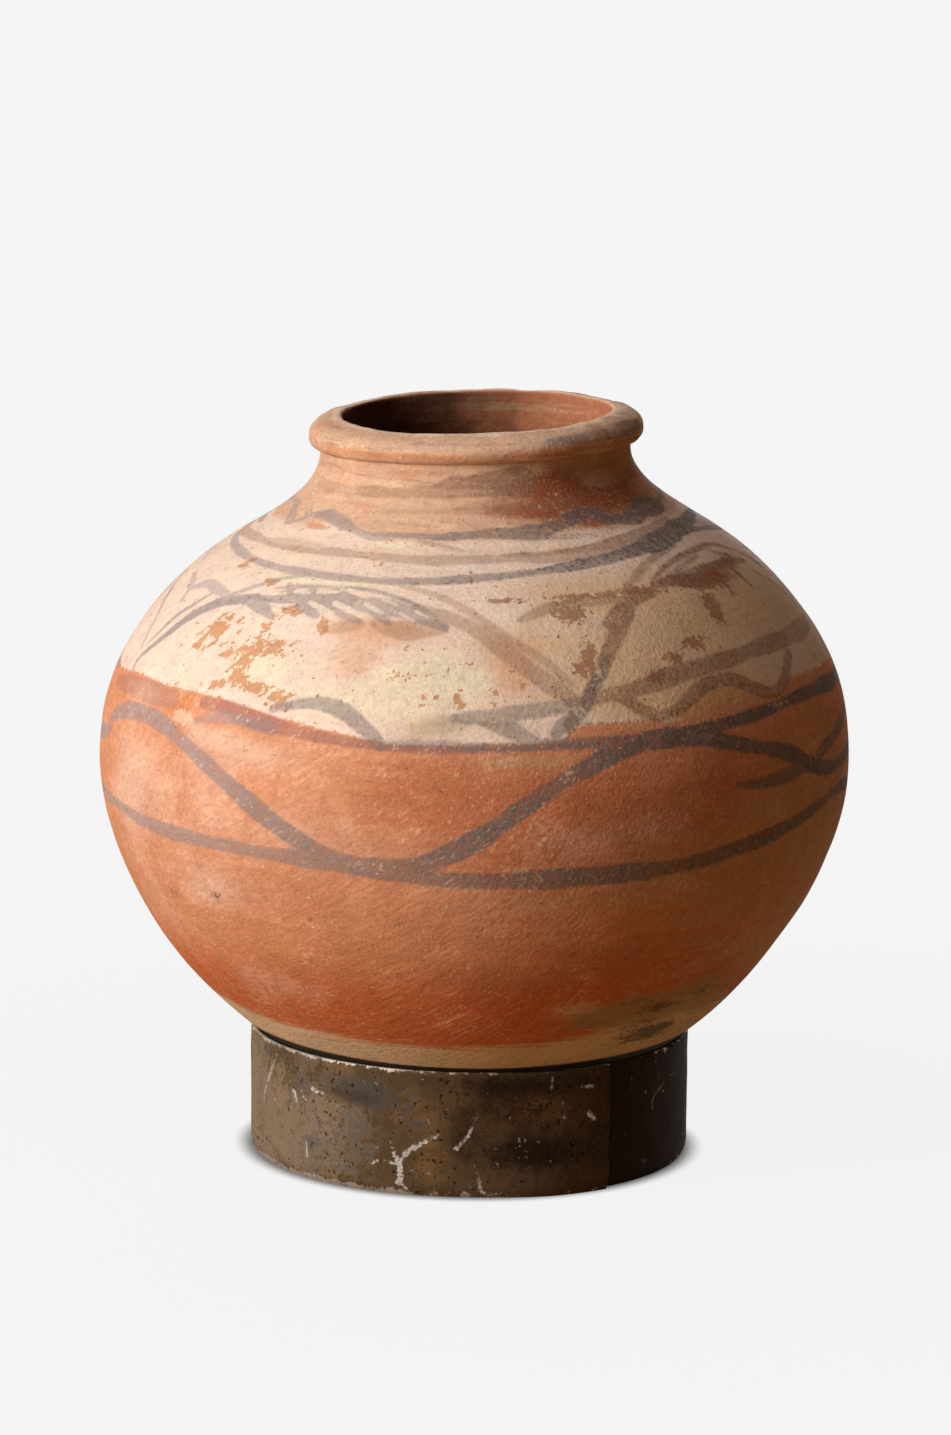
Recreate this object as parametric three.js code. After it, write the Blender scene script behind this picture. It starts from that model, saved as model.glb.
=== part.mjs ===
// Painted clay urn standing in a rolled metal ring.
// Millimetres, +Z up. The origin is the middle of the ring's foot, on the floor.
// Bearings are in degrees from the front, which is -Y, turning towards the right, which is +X.

import * as THREE from 'three';

// Urn: outside outline, heights measured from the lowest point of its round base
const BELLY_RADIUS = 186.5;
const BELLY_HEIGHT = 179;
const NECK_RADIUS = 77.6;
const NECK_HEIGHT = 330.5;
const BASE_CURVE_WIDTH = 91; // how far the base runs out level before it curves up
const UNDERBELLY_CURVE_HEIGHT = 88.5; // how far below the widest point the wall stays upright
const SHOULDER_CURVE_HEIGHT = 104; // how far above the widest point the wall stays upright
const NECK_CURVE_HEIGHT = 39; // how far below the groove the neck's curve begins
const NECK_FLARE_WIDTH = 3.3; // how far the neck's curve leans out towards the groove
const CLAY_WALL = 9;

// Urn: joints between the courses of clay, at the outside
const BOWL_HEIGHT = 56;
const LOWER_JOINT_DEPTH = 67; // below the widest point
const MIDDLE_JOINT_DEPTH = 3; // below the widest point
const UPPER_JOINT_HEIGHT = 55; // above the widest point
const COLLAR_HEIGHT = 38.5; // from the shoulder's joint to the groove
const JOINT_RISE_HEIGHT = 7; // each joint climbs this much from the outside to the inside
const SLIP_GAP = 0.2; // room for the wet slip that sticks one course to the next

// Urn: rolled rim, measured from the groove under it
const RIM_HEIGHT = 17.5;
const ROLL_PULL_WIDTH = 12; // pull of the roll's lower curve, outwards
const ROLL_PULL_HEIGHT = 4;
const CROWN_PULL_WIDTH = 6.4; // pull of the roll's upper curve, outwards
const CROWN_FALL_HEIGHT = 1.5; // fall of the rim's top towards the outside
const LIP_OVERHANG_WIDTH = 1.6; // how far the lip stands into the mouth
const LIP_RADIUS = 2.5;

// Urn: hand-made lean of the mouth
const LEAN_HEIGHT = 90; // how far below the groove it begins
const MOUTH_TILT_DEG = 2.3; // right side higher
const MOUTH_OFFSET = 2.5; // to the left

// Stand: metal strip rolled into a ring with lapped ends
const STAND_RADIUS = 110; // outside
const STAND_HEIGHT = 62.5;
const STRIP_THICKNESS = 2.5;
const CURL_RADIUS = 14; // outside radius of the lower edge, beaten inwards
const CURL_HEIGHT = 6.5;
const LAP_BEARING_DEG = 37.6; // edge of the outer end, seen from the front
const LAP_LENGTH = 24;
const JOGGLE_LENGTH = 9; // length over which the outer end steps out
const BRAZE_THICKNESS = 0.5;
const BRAZE_CLEARANCE = 0.25; // each side of the braze
const BRAZE_MARGIN = 1.5; // braze that shows past the outer end

// How far the urn stands above the ring's inner edge
const SEAT_CLEARANCE = 0.4;

// Fineness of the round forms
const TURN_SEGMENTS = 60;
const COURSE_ROWS = 4;
const BOWL_ROWS = 7;
const RIM_ROWS = 5;
const CURL_ROWS = 3;
const RING_SEGMENTS = 80;
const JOGGLE_SEGMENTS = 4;
const LAP_SEGMENTS = 4;

const radians = THREE.MathUtils.degToRad;
const seatRadius = STAND_RADIUS - STRIP_THICKNESS;

// Finishes
const finishes = {
  bareClay: { color: 0xb07a4e, roughness: 0.9, metalness: 0 },
  redSlip: { color: 0x8a4630, roughness: 0.7, metalness: 0 },
  creamSlip: { color: 0xb48d69, roughness: 0.75, metalness: 0 },
  patinatedSteel: { color: 0x5f5248, roughness: 0.5, metalness: 0.8 },
  brass: { color: 0xa5874a, roughness: 0.45, metalness: 1 },
};

function namedMesh(name, geometry, finish) {
  const mesh = new THREE.Mesh(geometry, new THREE.MeshStandardMaterial(finish));
  mesh.name = name;
  return mesh;
}

// Outside outline: one curve from the base to the widest point, one from there to the groove
const lowerCurve = new THREE.CubicBezierCurve(
  new THREE.Vector2(0, 0),
  new THREE.Vector2(BASE_CURVE_WIDTH, 0),
  new THREE.Vector2(BELLY_RADIUS, BELLY_HEIGHT - UNDERBELLY_CURVE_HEIGHT),
  new THREE.Vector2(BELLY_RADIUS, BELLY_HEIGHT),
);
const upperCurve = new THREE.CubicBezierCurve(
  new THREE.Vector2(BELLY_RADIUS, BELLY_HEIGHT),
  new THREE.Vector2(BELLY_RADIUS, BELLY_HEIGHT + SHOULDER_CURVE_HEIGHT),
  new THREE.Vector2(NECK_RADIUS - NECK_FLARE_WIDTH, NECK_HEIGHT - NECK_CURVE_HEIGHT),
  new THREE.Vector2(NECK_RADIUS, NECK_HEIGHT),
);

// A place on the outline runs from the base, through the widest point, to the groove
const BASE_PLACE = 0;
const BELLY_PLACE = 1;
const GROOVE_PLACE = 2;

function onCurve(place, read) {
  return place <= BELLY_PLACE ? read(lowerCurve, place) : read(upperCurve, place - BELLY_PLACE);
}

function outerPoint(place) {
  return onCurve(place, (curve, t) => curve.getPoint(t));
}

function innerPoint(place) {
  const along = onCurve(place, (curve, t) => curve.getTangent(t));
  const point = outerPoint(place);
  const radius = place === BASE_PLACE ? 0 : point.x - along.y * CLAY_WALL;
  return new THREE.Vector2(radius, point.y + along.x * CLAY_WALL);
}

// Finds where a measure that grows along the outline reaches a value
function placeWhere(measure, value, low, high) {
  const halvings = 50;
  for (let i = 0; i < halvings; i += 1) {
    const middle = (low + high) / 2;
    if (measure(outerPoint(middle)) < value) low = middle;
    else high = middle;
  }
  return high;
}

function placeAtHeight(height) {
  return placeWhere((point) => point.y, height, BASE_PLACE, GROOVE_PLACE);
}

// A joint between two courses: its ends on the outside and the inside of the wall
function slantedJoint(height) {
  return { outer: placeAtHeight(height), inner: placeAtHeight(height + JOINT_RISE_HEIGHT) };
}

const axisJoint = { outer: BASE_PLACE, inner: BASE_PLACE };
const grooveJoint = { outer: GROOVE_PLACE, inner: GROOVE_PLACE };

function steps(from, to, rows) {
  return Array.from({ length: rows + 1 }, (unused, i) => THREE.MathUtils.lerp(from, to, i / rows));
}

// Leans and shifts the mouth, more and more from the shoulder up
function leanMouth(geometry) {
  const position = geometry.attributes.position;
  const slope = Math.tan(radians(MOUTH_TILT_DEG));
  for (let i = 0; i < position.count; i += 1) {
    const x = position.getX(i);
    const z = position.getZ(i);
    const share = THREE.MathUtils.smoothstep(z, NECK_HEIGHT - LEAN_HEIGHT, NECK_HEIGHT);
    position.setX(i, x - MOUTH_OFFSET * share);
    position.setZ(i, z + slope * x * share);
  }
  return geometry;
}

// Turns a closed profile of (radius, height) points about the urn's axis
function turned(profile) {
  const geometry = new THREE.LatheGeometry(profile, TURN_SEGMENTS);
  geometry.rotateX(Math.PI / 2);
  return leanMouth(geometry);
}

// One course of clay between a lower and an upper joint
function courseProfile(lower, upper, rows) {
  const outside = steps(lower.outer, upper.outer, rows).map(outerPoint);
  const inside = steps(upper.inner, lower.inner, rows).map(innerPoint);
  const profile = [...outside, ...inside];
  if (lower !== axisJoint) profile.push(outside[0].clone());
  return profile;
}

// The rolled coil on the collar: out from the groove, over the crown, down the lip, back along the joint
function rimProfile() {
  const raised = new THREE.Vector2(0, SLIP_GAP);
  const groove = outerPoint(GROOVE_PLACE).add(raised);
  const mouth = innerPoint(GROOVE_PLACE).add(raised);
  const top = groove.y + RIM_HEIGHT;
  const lipRadius = mouth.x - LIP_OVERHANG_WIDTH;
  const rim = new THREE.Path();
  rim.moveTo(groove.x, groove.y);
  rim.bezierCurveTo(
    groove.x + ROLL_PULL_WIDTH, groove.y + ROLL_PULL_HEIGHT,
    groove.x + CROWN_PULL_WIDTH, top - CROWN_FALL_HEIGHT,
    lipRadius + LIP_RADIUS, top,
  );
  rim.quadraticCurveTo(lipRadius, top, lipRadius, top - LIP_RADIUS);
  rim.lineTo(mouth.x, mouth.y);
  rim.lineTo(groove.x, groove.y);
  return rim.getPoints(RIM_ROWS);
}

function buildUrn() {
  const courses = [
    ['base_bowl', BOWL_HEIGHT, BOWL_ROWS, finishes.bareClay],
    ['lower_belly', BELLY_HEIGHT - LOWER_JOINT_DEPTH, COURSE_ROWS, finishes.redSlip],
    ['middle_belly', BELLY_HEIGHT - MIDDLE_JOINT_DEPTH, COURSE_ROWS, finishes.redSlip],
    ['upper_belly', BELLY_HEIGHT + UPPER_JOINT_HEIGHT, COURSE_ROWS, finishes.creamSlip],
    ['shoulder', NECK_HEIGHT - COLLAR_HEIGHT, COURSE_ROWS, finishes.creamSlip],
  ];
  const urn = new THREE.Group();
  let below = axisJoint;
  for (const [name, top, rows, finish] of courses) {
    urn.add(namedMesh(name, turned(courseProfile(below, slantedJoint(top), rows)), finish));
    below = slantedJoint(top + SLIP_GAP);
  }
  const collar = courseProfile(below, grooveJoint, COURSE_ROWS);
  urn.add(namedMesh('neck_collar', turned(collar), finishes.bareClay));
  urn.add(namedMesh('rim_coil', turned(rimProfile()), finishes.bareClay));
  return urn;
}

// The ring's inner edge carries the urn where its outline reaches the same radius
function seatHeight() {
  const seat = outerPoint(placeWhere((point) => point.x, seatRadius, BASE_PLACE, BELLY_PLACE));
  return STAND_HEIGHT - seat.y + SEAT_CLEARANCE;
}

// Line along the inner face of a strip that runs round the ring through a list of bearings
class RingPath extends THREE.Curve {
  constructor(bearings, radiusAt) {
    super();
    this.bearings = bearings;
    this.radiusAt = radiusAt;
    this.stretches = bearings.length - 1;
  }

  getPoint(t, target = new THREE.Vector3()) {
    const first = Math.min(Math.floor(t * this.stretches), this.stretches - 1);
    const share = t * this.stretches - first;
    const bearing = THREE.MathUtils.lerp(this.bearings[first], this.bearings[first + 1], share);
    const radius = this.radiusAt(bearing);
    return target.set(radius * Math.sin(bearing), -radius * Math.cos(bearing), 0);
  }

  // The sweep's sections stand at the listed bearings, not at even distances
  getUtoTmapping(u) {
    return u;
  }
}

function sweptStrip(section, bearings, radiusAt) {
  const extrudePath = new RingPath(bearings, radiusAt);
  return new THREE.ExtrudeGeometry(section, { steps: extrudePath.stretches, extrudePath });
}

// Section of a strip, drawn from (outwards, height) points as the sweep lays it along a RingPath
function stripShape(points) {
  return new THREE.Shape(points.map(([outwards, height]) => new THREE.Vector2(-height, -outwards)));
}

// Points down one face of the strip's lower edge, which curls inwards to the foot
function curl(faceRadius) {
  const centre = STRIP_THICKNESS - CURL_RADIUS;
  const end = Math.asin(CURL_HEIGHT / faceRadius);
  return steps(0, end, CURL_ROWS).map((angle) => [
    centre + faceRadius * Math.cos(angle),
    CURL_HEIGHT - faceRadius * Math.sin(angle),
  ]);
}

function buildStand() {
  const lapGap = BRAZE_THICKNESS + 2 * BRAZE_CLEARANCE;
  const step = STRIP_THICKNESS + lapGap;
  const lapEdge = radians(LAP_BEARING_DEG);
  const hiddenEnd = lapEdge - LAP_LENGTH / STAND_RADIUS;
  const outerEnd = lapEdge + 2 * Math.PI;
  const joggleEnd = hiddenEnd + 2 * Math.PI;
  const joggleStart = joggleEnd - JOGGLE_LENGTH / STAND_RADIUS;
  const stripRadius = (bearing) => (
    seatRadius + step * THREE.MathUtils.smoothstep(bearing, joggleStart, joggleEnd)
  );
  const bandSection = stripShape([
    [0, STAND_HEIGHT],
    [STRIP_THICKNESS, STAND_HEIGHT],
    ...curl(CURL_RADIUS),
    ...curl(CURL_RADIUS - STRIP_THICKNESS).reverse(),
  ]);
  const lapBearings = steps(joggleEnd, outerEnd, LAP_SEGMENTS);
  const bandBearings = [
    ...steps(hiddenEnd, joggleStart, RING_SEGMENTS),
    ...steps(joggleStart, joggleEnd, JOGGLE_SEGMENTS).slice(1),
    ...lapBearings.slice(1),
  ];
  const band = sweptStrip(bandSection, bandBearings, stripRadius);
  const brazeSection = stripShape([
    [0, CURL_HEIGHT],
    [0, STAND_HEIGHT],
    [BRAZE_THICKNESS, STAND_HEIGHT],
    [BRAZE_THICKNESS, CURL_HEIGHT],
  ]);
  const brazeBearings = [...lapBearings, outerEnd + BRAZE_MARGIN / STAND_RADIUS];
  const brazeRadius = STAND_RADIUS + BRAZE_CLEARANCE;
  const braze = sweptStrip(brazeSection, brazeBearings, () => brazeRadius);
  const stand = new THREE.Group();
  stand.add(namedMesh('stand_band', band, finishes.patinatedSteel));
  stand.add(namedMesh('lap_braze', braze, finishes.brass));
  return stand;
}

const urn = buildUrn();
urn.position.z = seatHeight();

const part = new THREE.Group();
part.add(buildStand(), urn);

export default part;
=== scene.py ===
"""Looks of a hand-built clay urn, painted with slip, that stands in a ring of patinated metal strip.

Sizes are in millimetres and are turned to Blender's metres where a mesh is made. Bearings are in degrees
from the front (-Y), turning towards the right (+X). Heights of painted marks are measured from the floor,
before the mouth's lean is added.
"""

import logging
import math
from collections.abc import Callable
from dataclasses import dataclass
from enum import Enum
from functools import partial

import bpy
import numpy as np
from mathutils import Matrix, Vector


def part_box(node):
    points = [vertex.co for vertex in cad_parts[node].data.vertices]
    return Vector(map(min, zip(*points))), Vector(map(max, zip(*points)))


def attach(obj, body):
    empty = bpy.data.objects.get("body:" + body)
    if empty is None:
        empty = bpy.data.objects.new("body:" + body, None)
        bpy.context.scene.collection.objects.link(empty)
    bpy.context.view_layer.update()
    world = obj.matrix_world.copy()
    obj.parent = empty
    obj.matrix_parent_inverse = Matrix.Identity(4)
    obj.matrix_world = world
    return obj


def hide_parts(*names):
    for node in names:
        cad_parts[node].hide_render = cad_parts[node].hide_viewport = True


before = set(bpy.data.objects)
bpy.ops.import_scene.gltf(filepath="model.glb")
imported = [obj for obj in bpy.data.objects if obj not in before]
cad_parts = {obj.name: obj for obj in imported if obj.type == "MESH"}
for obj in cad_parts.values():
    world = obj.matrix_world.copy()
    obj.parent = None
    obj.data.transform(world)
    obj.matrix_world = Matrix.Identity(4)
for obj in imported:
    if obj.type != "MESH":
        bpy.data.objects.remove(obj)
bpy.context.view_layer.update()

log = logging.getLogger("urn")

MM = 0.001
FULL_TURN = 360.0
# The painted front is repeated on the back, half a turn away.
PAINTED_SIDES = (0.0, 180.0)

Points = tuple[tuple[float, float], ...]
Socket = bpy.types.NodeSocket
AlongAt = Callable[[np.ndarray], np.ndarray]
Waves = tuple[tuple[int, float, float], ...]


class Mark(Enum):
    """Marks with an edge: brushed paint, scratches and chips."""

    INK = "ink"
    WASH = "wash"
    MAROON = "maroon"
    SLIT = "slit"
    SCRATCH = "scratch"
    CHIP = "chip"
    GOUGE = "gouge"


class Stain(Enum):
    """Soft changes of colour that lie in patches."""

    FLAKE = "flake"
    SCAB = "scab"
    BLOOM = "bloom"
    PEACH = "peach"
    HAZE_AND_SHEEN = "haze"
    DEEP = "deep"
    OLIVE = "olive"
    SMUDGE = "smudge"
    DULL = "dull"
    CLOUD = "cloud"
    SOOT_AND_SHADE = "soot"
    RUST = "rust"
    ORANGE = "orange"
    TAN = "tan"
    SHADE_AND_PATINA = "dark"
    WORN = "worn"
    GREY = "grey"
    BROWN = "brown"
    PINK = "pink"


@dataclass(frozen=True)
class Stroke:
    """One stroke: (bearing, height) points, the width at its two ends and how much paint it carries."""

    points: Points
    width: tuple[float, float]
    load: float
    all_round: bool = False


@dataclass(frozen=True)
class Patch:
    """One soft patch: its middle, its half width and half height along the wall, and its strength."""

    bearing: float
    height: float
    half_width: float
    half_height: float
    strength: float = 1.0


# Dark lines on the neck and the shoulder
SHOULDER_INK = (
    Stroke(
        (
            (-83, 309.5), (-72, 308), (-60, 306.3), (-45, 304.8), (-30, 304.2), (-17, 304), (0, 306.4),
            (14, 308.4), (30, 310.8), (49, 314), (68, 316.8),
        ),
        (4.8, 5.4), 0.8, True,
    ),
    Stroke(((14, 308.8), (30, 311.6), (49, 315), (64, 318)), (5, 13), 0.9),
    Stroke(((61, 317.6), (74, 319), (86, 319.4), (96, 318.6)), (13, 3), 0.9),
    Stroke(
        (
            (-76, 331), (-71, 327), (-65, 323.3), (-61.4, 324.6), (-56.4, 328.8), (-50.6, 329.5),
            (-42.7, 326.7), (-36.6, 324.6), (-30, 323), (-19.6, 323.3), (-10.6, 323.3), (-2.7, 324.3),
            (5, 325.3), (12.4, 324.8), (20.7, 325.3), (25.8, 327), (32.2, 330), (37.6, 330.3),
            (41.2, 327.6), (46, 325.5), (60, 327), (76, 329),
        ),
        (3.2, 3.8), 0.72, True,
    ),
    Stroke(((-75.8, 331), (-71, 327.4), (-65.4, 323.5)), (4, 9), 0.75),
    Stroke(((-58, 327.8), (-51, 329.2), (-45, 327.6)), (4, 10), 0.8),
    Stroke(((-47, 328.2), (-41, 326), (-35, 323.6)), (10, 4), 0.8),
    Stroke(((-36, 323.9), (-28.6, 321.5), (-23, 321.2)), (5, 2), 0.5),
    Stroke(((-12, 322.6), (-2.3, 323.8), (4.9, 324.6), (12.4, 324.2), (20.7, 324.8)), (5, 11), 0.85),
    Stroke(((18, 325), (25.8, 327), (32.2, 330), (38, 330), (44, 326.5)), (9, 9), 0.9),
    Stroke(((44, 326.5), (52, 326), (60, 328.5), (72, 328)), (9, 13), 0.85),
    Stroke(
        (
            (-72, 248), (-72, 255), (-68, 265), (-64, 276), (-61, 282), (-56, 288), (-51, 290.2),
        ),
        (2.6, 8), 1.25,
    ),
    Stroke(((-56, 288.8), (-49.5, 291), (-44, 292.4), (-38, 293.4)), (8, 4), 1.1),
    Stroke(((-72, 262), (-70, 269), (-68, 277), (-64.5, 284), (-61.5, 290)), (2.4, 3.2), 1.15),
    Stroke(((-56.4, 290.5), (-52.1, 294.6), (-47, 299.2), (-43, 301.8), (-37, 303.4)), (3, 3), 0.7),
    Stroke(((-71, 289.5), (-66, 292.8), (-57, 291)), (6, 8), 0.55),
    Stroke(((-71, 283), (-73, 289.5), (-78, 293.5)), (5, 6), 0.5),
    Stroke(((-73.5, 259), (-77, 272), (-83, 281.5), (-90, 291)), (2.4, 3.6), 0.9),
    Stroke(((-85, 298.5), (-92, 303)), (3, 2.4), 0.9),
    Stroke(((-49.2, 291), (-45, 289), (-40.9, 286)), (9, 6), 0.85),
    Stroke(((12, 243), (15, 250.5), (17.2, 257), (19.5, 266), (22.3, 275)), (9, 4), 0.72),
)
# A leaf of paint under the shoulder line, and the slanted slits left bare in it
COMB_INK = (
    Stroke(
        ((-44, 297), (-38, 299), (-32, 300), (-25, 300.3), (-18.6, 298.8), (-12.4, 295.4), (-8, 291.5)),
        (2.8, 2.6), 0.85,
    ),
    Stroke(((-45, 293), (-38, 294.4), (-31, 294.8), (-25, 294.8)), (8, 16), 0.9),
    Stroke(((-27, 294.8), (-20, 294), (-14, 292.4), (-6, 287)), (15, 5), 0.66),
    *(
        Stroke(((left, 299), (left + 3.5, 295.5)), (5, 5), 0.8)
        for left in (-41.5, -35.8, -30.0)
    ),
    Stroke(((-36.5, 292.4), (-31, 288.2)), (8, 5), 0.85),
    Stroke(((-27, 291), (-22, 287)), (8, 5), 0.75),
    Stroke(((-20, 292), (-16.5, 287.6)), (8, 5), 0.75),
    Stroke(((-12, 292), (-6, 286)), (5, 4), 0.7),
)
COMB_SLITS = tuple(
    Stroke((start, end), (width, 0.75 * width), 0.95)
    for start, end, width in (
        ((-46.6, 294.0), (-40.8, 295.4), 3.2),
        ((-38.8, 296.8), (-35.4, 296.8), 3.2),
        ((-33.4, 297.6), (-29.0, 298.4), 3.4),
        ((-26.8, 299.4), (-22.2, 296.8), 3.6),
        ((-18.8, 296.6), (-16.0, 295.0), 3.0),
        ((-40.4, 290.4), (-37.3, 291.8), 3.2),
        ((-33.8, 293.2), (-28.0, 289.6), 4.0),
        ((-28.4, 293.8), (-22.2, 289.6), 4.8),
        ((-21.9, 294.4), (-18.3, 291.2), 3.8),
        ((-14.8, 291.6), (-12.0, 289.0), 2.8),
        ((-11.8, 292.8), (-9.4, 290.6), 2.6),
    )
)
# Waves and bands round the belly
BELLY_INK = (
    Stroke(
        (
            (-33, 247.5), (-28, 251.5), (-24, 252), (-20.5, 249.5), (-18.3, 245.5), (-15.8, 240.5),
            (-14.5, 236.5),
        ),
        (5, 9), 0.85,
    ),
    Stroke(((-3.5, 249.2), (0, 250), (3, 247.8), (6, 243.3), (8.5, 238.8)), (7, 9), 0.64),
    Stroke(((0, 249.3), (5.5, 251.8), (11, 253.8), (16, 255.8)), (7.5, 9), 0.62),
    Stroke(
        ((-13, 237), (-6, 237.8), (-1, 236.8), (5, 237), (13, 238), (21, 237.8), (28, 238.4)),
        (4.4, 5.5), 0.75,
    ),
    Stroke(((-47.7, 236.5), (-43.4, 240.3), (-38.4, 240.7), (-32, 239)), (4, 9), 0.55),
    Stroke(
        (
            (-79, 215), (-75, 224), (-69, 231), (-63, 233), (-57, 232), (-49, 225), (-40, 212),
            (-29, 193), (-23, 183), (-17, 179), (-11, 178), (-6, 182), (1, 194), (7, 208), (13, 221),
            (22, 234), (31, 238), (42, 232), (55, 222), (61, 214), (72, 208),
        ),
        (7.6, 9.6), 0.98, True,
    ),
    Stroke(((27, 238.5), (37, 240.3), (50, 244), (62, 247), (82, 246.3)), (5, 8), 1.0),
    Stroke(((80, 246.4), (90, 245.8), (98, 245)), (8, 2.5), 0.95),
    Stroke(((42, 212), (48, 211), (54, 212), (61, 215)), (4, 10), 0.8),
    Stroke(((84, 230), (75, 225), (64, 217)), (7, 9), 0.75),
    Stroke(
        (
            (-79, 185), (-69, 184), (-58, 181), (-35, 180), (-18, 178), (-3, 173), (13, 174), (32, 176),
            (42, 180), (53, 185), (65, 192), (76, 195),
        ),
        (6.0, 9.4), 0.88, True,
    ),
)
# Thin brown strokes over the cream and the neck, and a fringe of short ones high on the right
BROWN_WASH = (
    Stroke(
        (
            (-89, 313.6), (-76, 314), (-55, 314), (-30, 314.2), (-13, 313.2), (4, 314), (26, 313.8),
            (37, 315), (52, 317.4), (73, 319.5),
        ),
        (6, 7), 0.46, True,
    ),
    Stroke(((-66, 314.5), (-54, 315.5), (-42, 315)), (4, 9), 0.3),
    Stroke(((6, 315), (20, 315.4), (34, 316.6), (50, 319.4), (66, 321.4)), (5, 10), 0.62),
    Stroke(((-15, 320.8), (-8.8, 319.3), (-3.4, 317.4)), (4, 3), 0.5),
    Stroke(
        (
            (-16, 302.4), (-9.2, 299.9), (-3.8, 295.7), (0.2, 290.6), (4.5, 283.5), (10.5, 275),
            (15, 264),
        ),
        (4, 5), 0.4,
    ),
    Stroke(
        (
            (-12.4, 295), (-8.8, 292.8), (-5.2, 290.6), (0.2, 285.6), (4, 279), (8, 271), (12, 263),
            (15.5, 256),
        ),
        (6, 11), 0.46,
    ),
    Stroke(((-28, 283.3), (-25, 284.6), (-22, 286.2)), (7, 9), 0.36),
    Stroke(((-19, 286.8), (-16, 285.4), (-12, 285.2), (-7, 287)), (8, 12), 0.42),
    Stroke(((8, 290), (13, 294), (19, 295.5), (26.5, 296), (31, 294)), (6, 7), 0.5),
    Stroke(
        (
            (14, 246), (17, 256), (19.5, 266), (22, 275), (25.5, 284.5), (29.5, 293), (33, 299),
        ),
        (9, 8), 0.7,
    ),
    Stroke(((24, 287), (27, 291.6), (31.5, 295.2), (36.5, 297.3)), (8, 8), 0.8),
    Stroke(
        (
            (17.1, 257.2), (25.4, 260.5), (35.1, 265.6), (46.3, 269), (58.2, 271.5), (68, 272),
        ),
        (8, 10), 0.68,
    ),
    Stroke(((62, 271.6), (72, 272.2), (84, 272.6)), (9, 9), 0.45),
    Stroke(((79, 305), (83, 298), (86, 289), (88, 279), (89, 268)), (3.5, 6), 0.7),
    Stroke(((74, 298), (79, 291), (83, 283), (86, 274)), (2.4, 3.4), 0.55),
    Stroke(
        (
            (17.1, 256.3), (22.2, 258.5), (25.4, 252.5), (29, 247.8), (32.6, 250.6), (36.9, 257.6),
            (41.6, 260.6), (45.6, 259.2), (49.2, 254.8), (52.8, 251.2), (56.7, 253.5), (60.7, 260.5),
            (63.9, 266),
        ),
        (7.5, 7), 0.7,
    ),
    # a feather that runs up to the shoulder line
    Stroke(((32.2, 300.6), (39.8, 307), (48.8, 311.4), (56, 313)), (6, 4), 0.55),
    Stroke(((39.4, 301.9), (46.6, 306.3), (56.4, 309), (69.3, 309.6), (76.9, 305.4)), (3.2, 4.2), 0.75),
    Stroke(((39, 300), (43.8, 300.4), (48.8, 299.6), (54.9, 299)), (7, 10), 0.85),
    Stroke(((51, 302.6), (58.5, 302.6), (67.9, 302.4), (76.2, 300.6)), (5, 6), 0.8),
    Stroke(((47.7, 303.9), (52.8, 305.7), (59.3, 307.6)), (4, 4), 0.65),
    Stroke(((65, 309.6), (68.3, 305.9), (73.7, 303.3)), (3.2, 3), 0.65),
    Stroke(((72.6, 309), (76.2, 305.9), (79.1, 302.6)), (3.2, 3), 0.65),
    Stroke(((66.8, 301), (66.8, 297.1), (67.2, 292.8)), (7, 4), 0.9),
    Stroke(((57.8, 298), (58.6, 294.6), (58, 292)), (6, 4), 0.7),
    # bands on the neck
    Stroke(((-71, 341), (-58, 341), (-46, 341.2)), (5, 6), 0.3),
    Stroke(((-46, 341.2), (-30, 341.4), (-18, 342), (-7, 343), (4, 344), (15, 344.6)), (6, 8), 0.5),
    Stroke(((-13, 344.4), (-3, 345.6), (8, 346.4), (18, 346.8)), (8, 17), 0.72),
    Stroke(((-30, 333), (-8, 334), (14, 335), (36, 336)), (3, 6), 0.3),
)
# Red-brown band along the foot of the cream, wide on the left
MAROON_LINE = (
    Stroke(((-78, 241), (-66, 244), (-60, 243.3), (-54.5, 243.8)), (8, 13), 0.5),
    Stroke(
        (
            (-47, 245.5), (-42, 245.2), (-37, 243.4), (-30, 240.6), (-22.5, 237.6), (-15, 236),
        ),
        (8, 5), 0.7,
    ),
    Stroke(
        (
            (-40, 240), (-30, 237.5), (-22, 236), (-12, 235), (0, 235.3), (10, 236.5), (23, 238.2),
        ),
        (3, 3.8), 0.9,
    ),
)
# Pale lines where something scraped along the lower belly
BELLY_SCRATCHES = (
    Stroke(((-3, 104), (4, 104.5), (11, 104)), (1.2, 0.8), 0.7),
    Stroke(((-4, 107), (7, 108.5)), (0.9, 0.7), 0.45),
    Stroke(((36, 99), (45, 105), (55, 112)), (0.9, 0.7), 0.4),
    Stroke(((-28, 122), (-18, 123)), (0.9, 0.7), 0.4),
    Stroke(((14, 130), (24, 131.5)), (0.9, 0.7), 0.4),
    Stroke(((-14, 148), (-6, 147)), (0.9, 0.7), 0.4),
    Stroke(((13, 167), (24, 169), (36, 172)), (1.0, 0.7), 0.45),
    Stroke(((20, 196), (26, 203), (31, 214)), (1.6, 0.8), 0.35),
)

# Where one slip ends and the next begins
CREAM_FOOT: Points = (
    (-80, 247), (-68, 249.5), (-60, 249), (-46, 249), (-40, 247), (-27, 242.5), (-14, 237), (-4, 237),
    (7, 238.2), (12.4, 239.2), (15.7, 245.4), (21.4, 246.6), (30, 247), (34.4, 250.8), (39.4, 257),
    (44.8, 256.4), (49.9, 251), (55.3, 250.6), (60.7, 255.5), (75.8, 254.5), (86.3, 253.5),
)
NECK_FOOT: Points = (
    (-86, 322.6), (-61, 322.6), (-46, 326), (-35, 323.3), (-10, 322), (20, 322), (38, 324.6), (55, 323),
)
BARE_BASE: Points = (
    (-75, 87), (-52, 83), (-28, 79), (0, 78), (16, 80), (30, 88), (46, 100), (60, 93), (80, 86),
)

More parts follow.
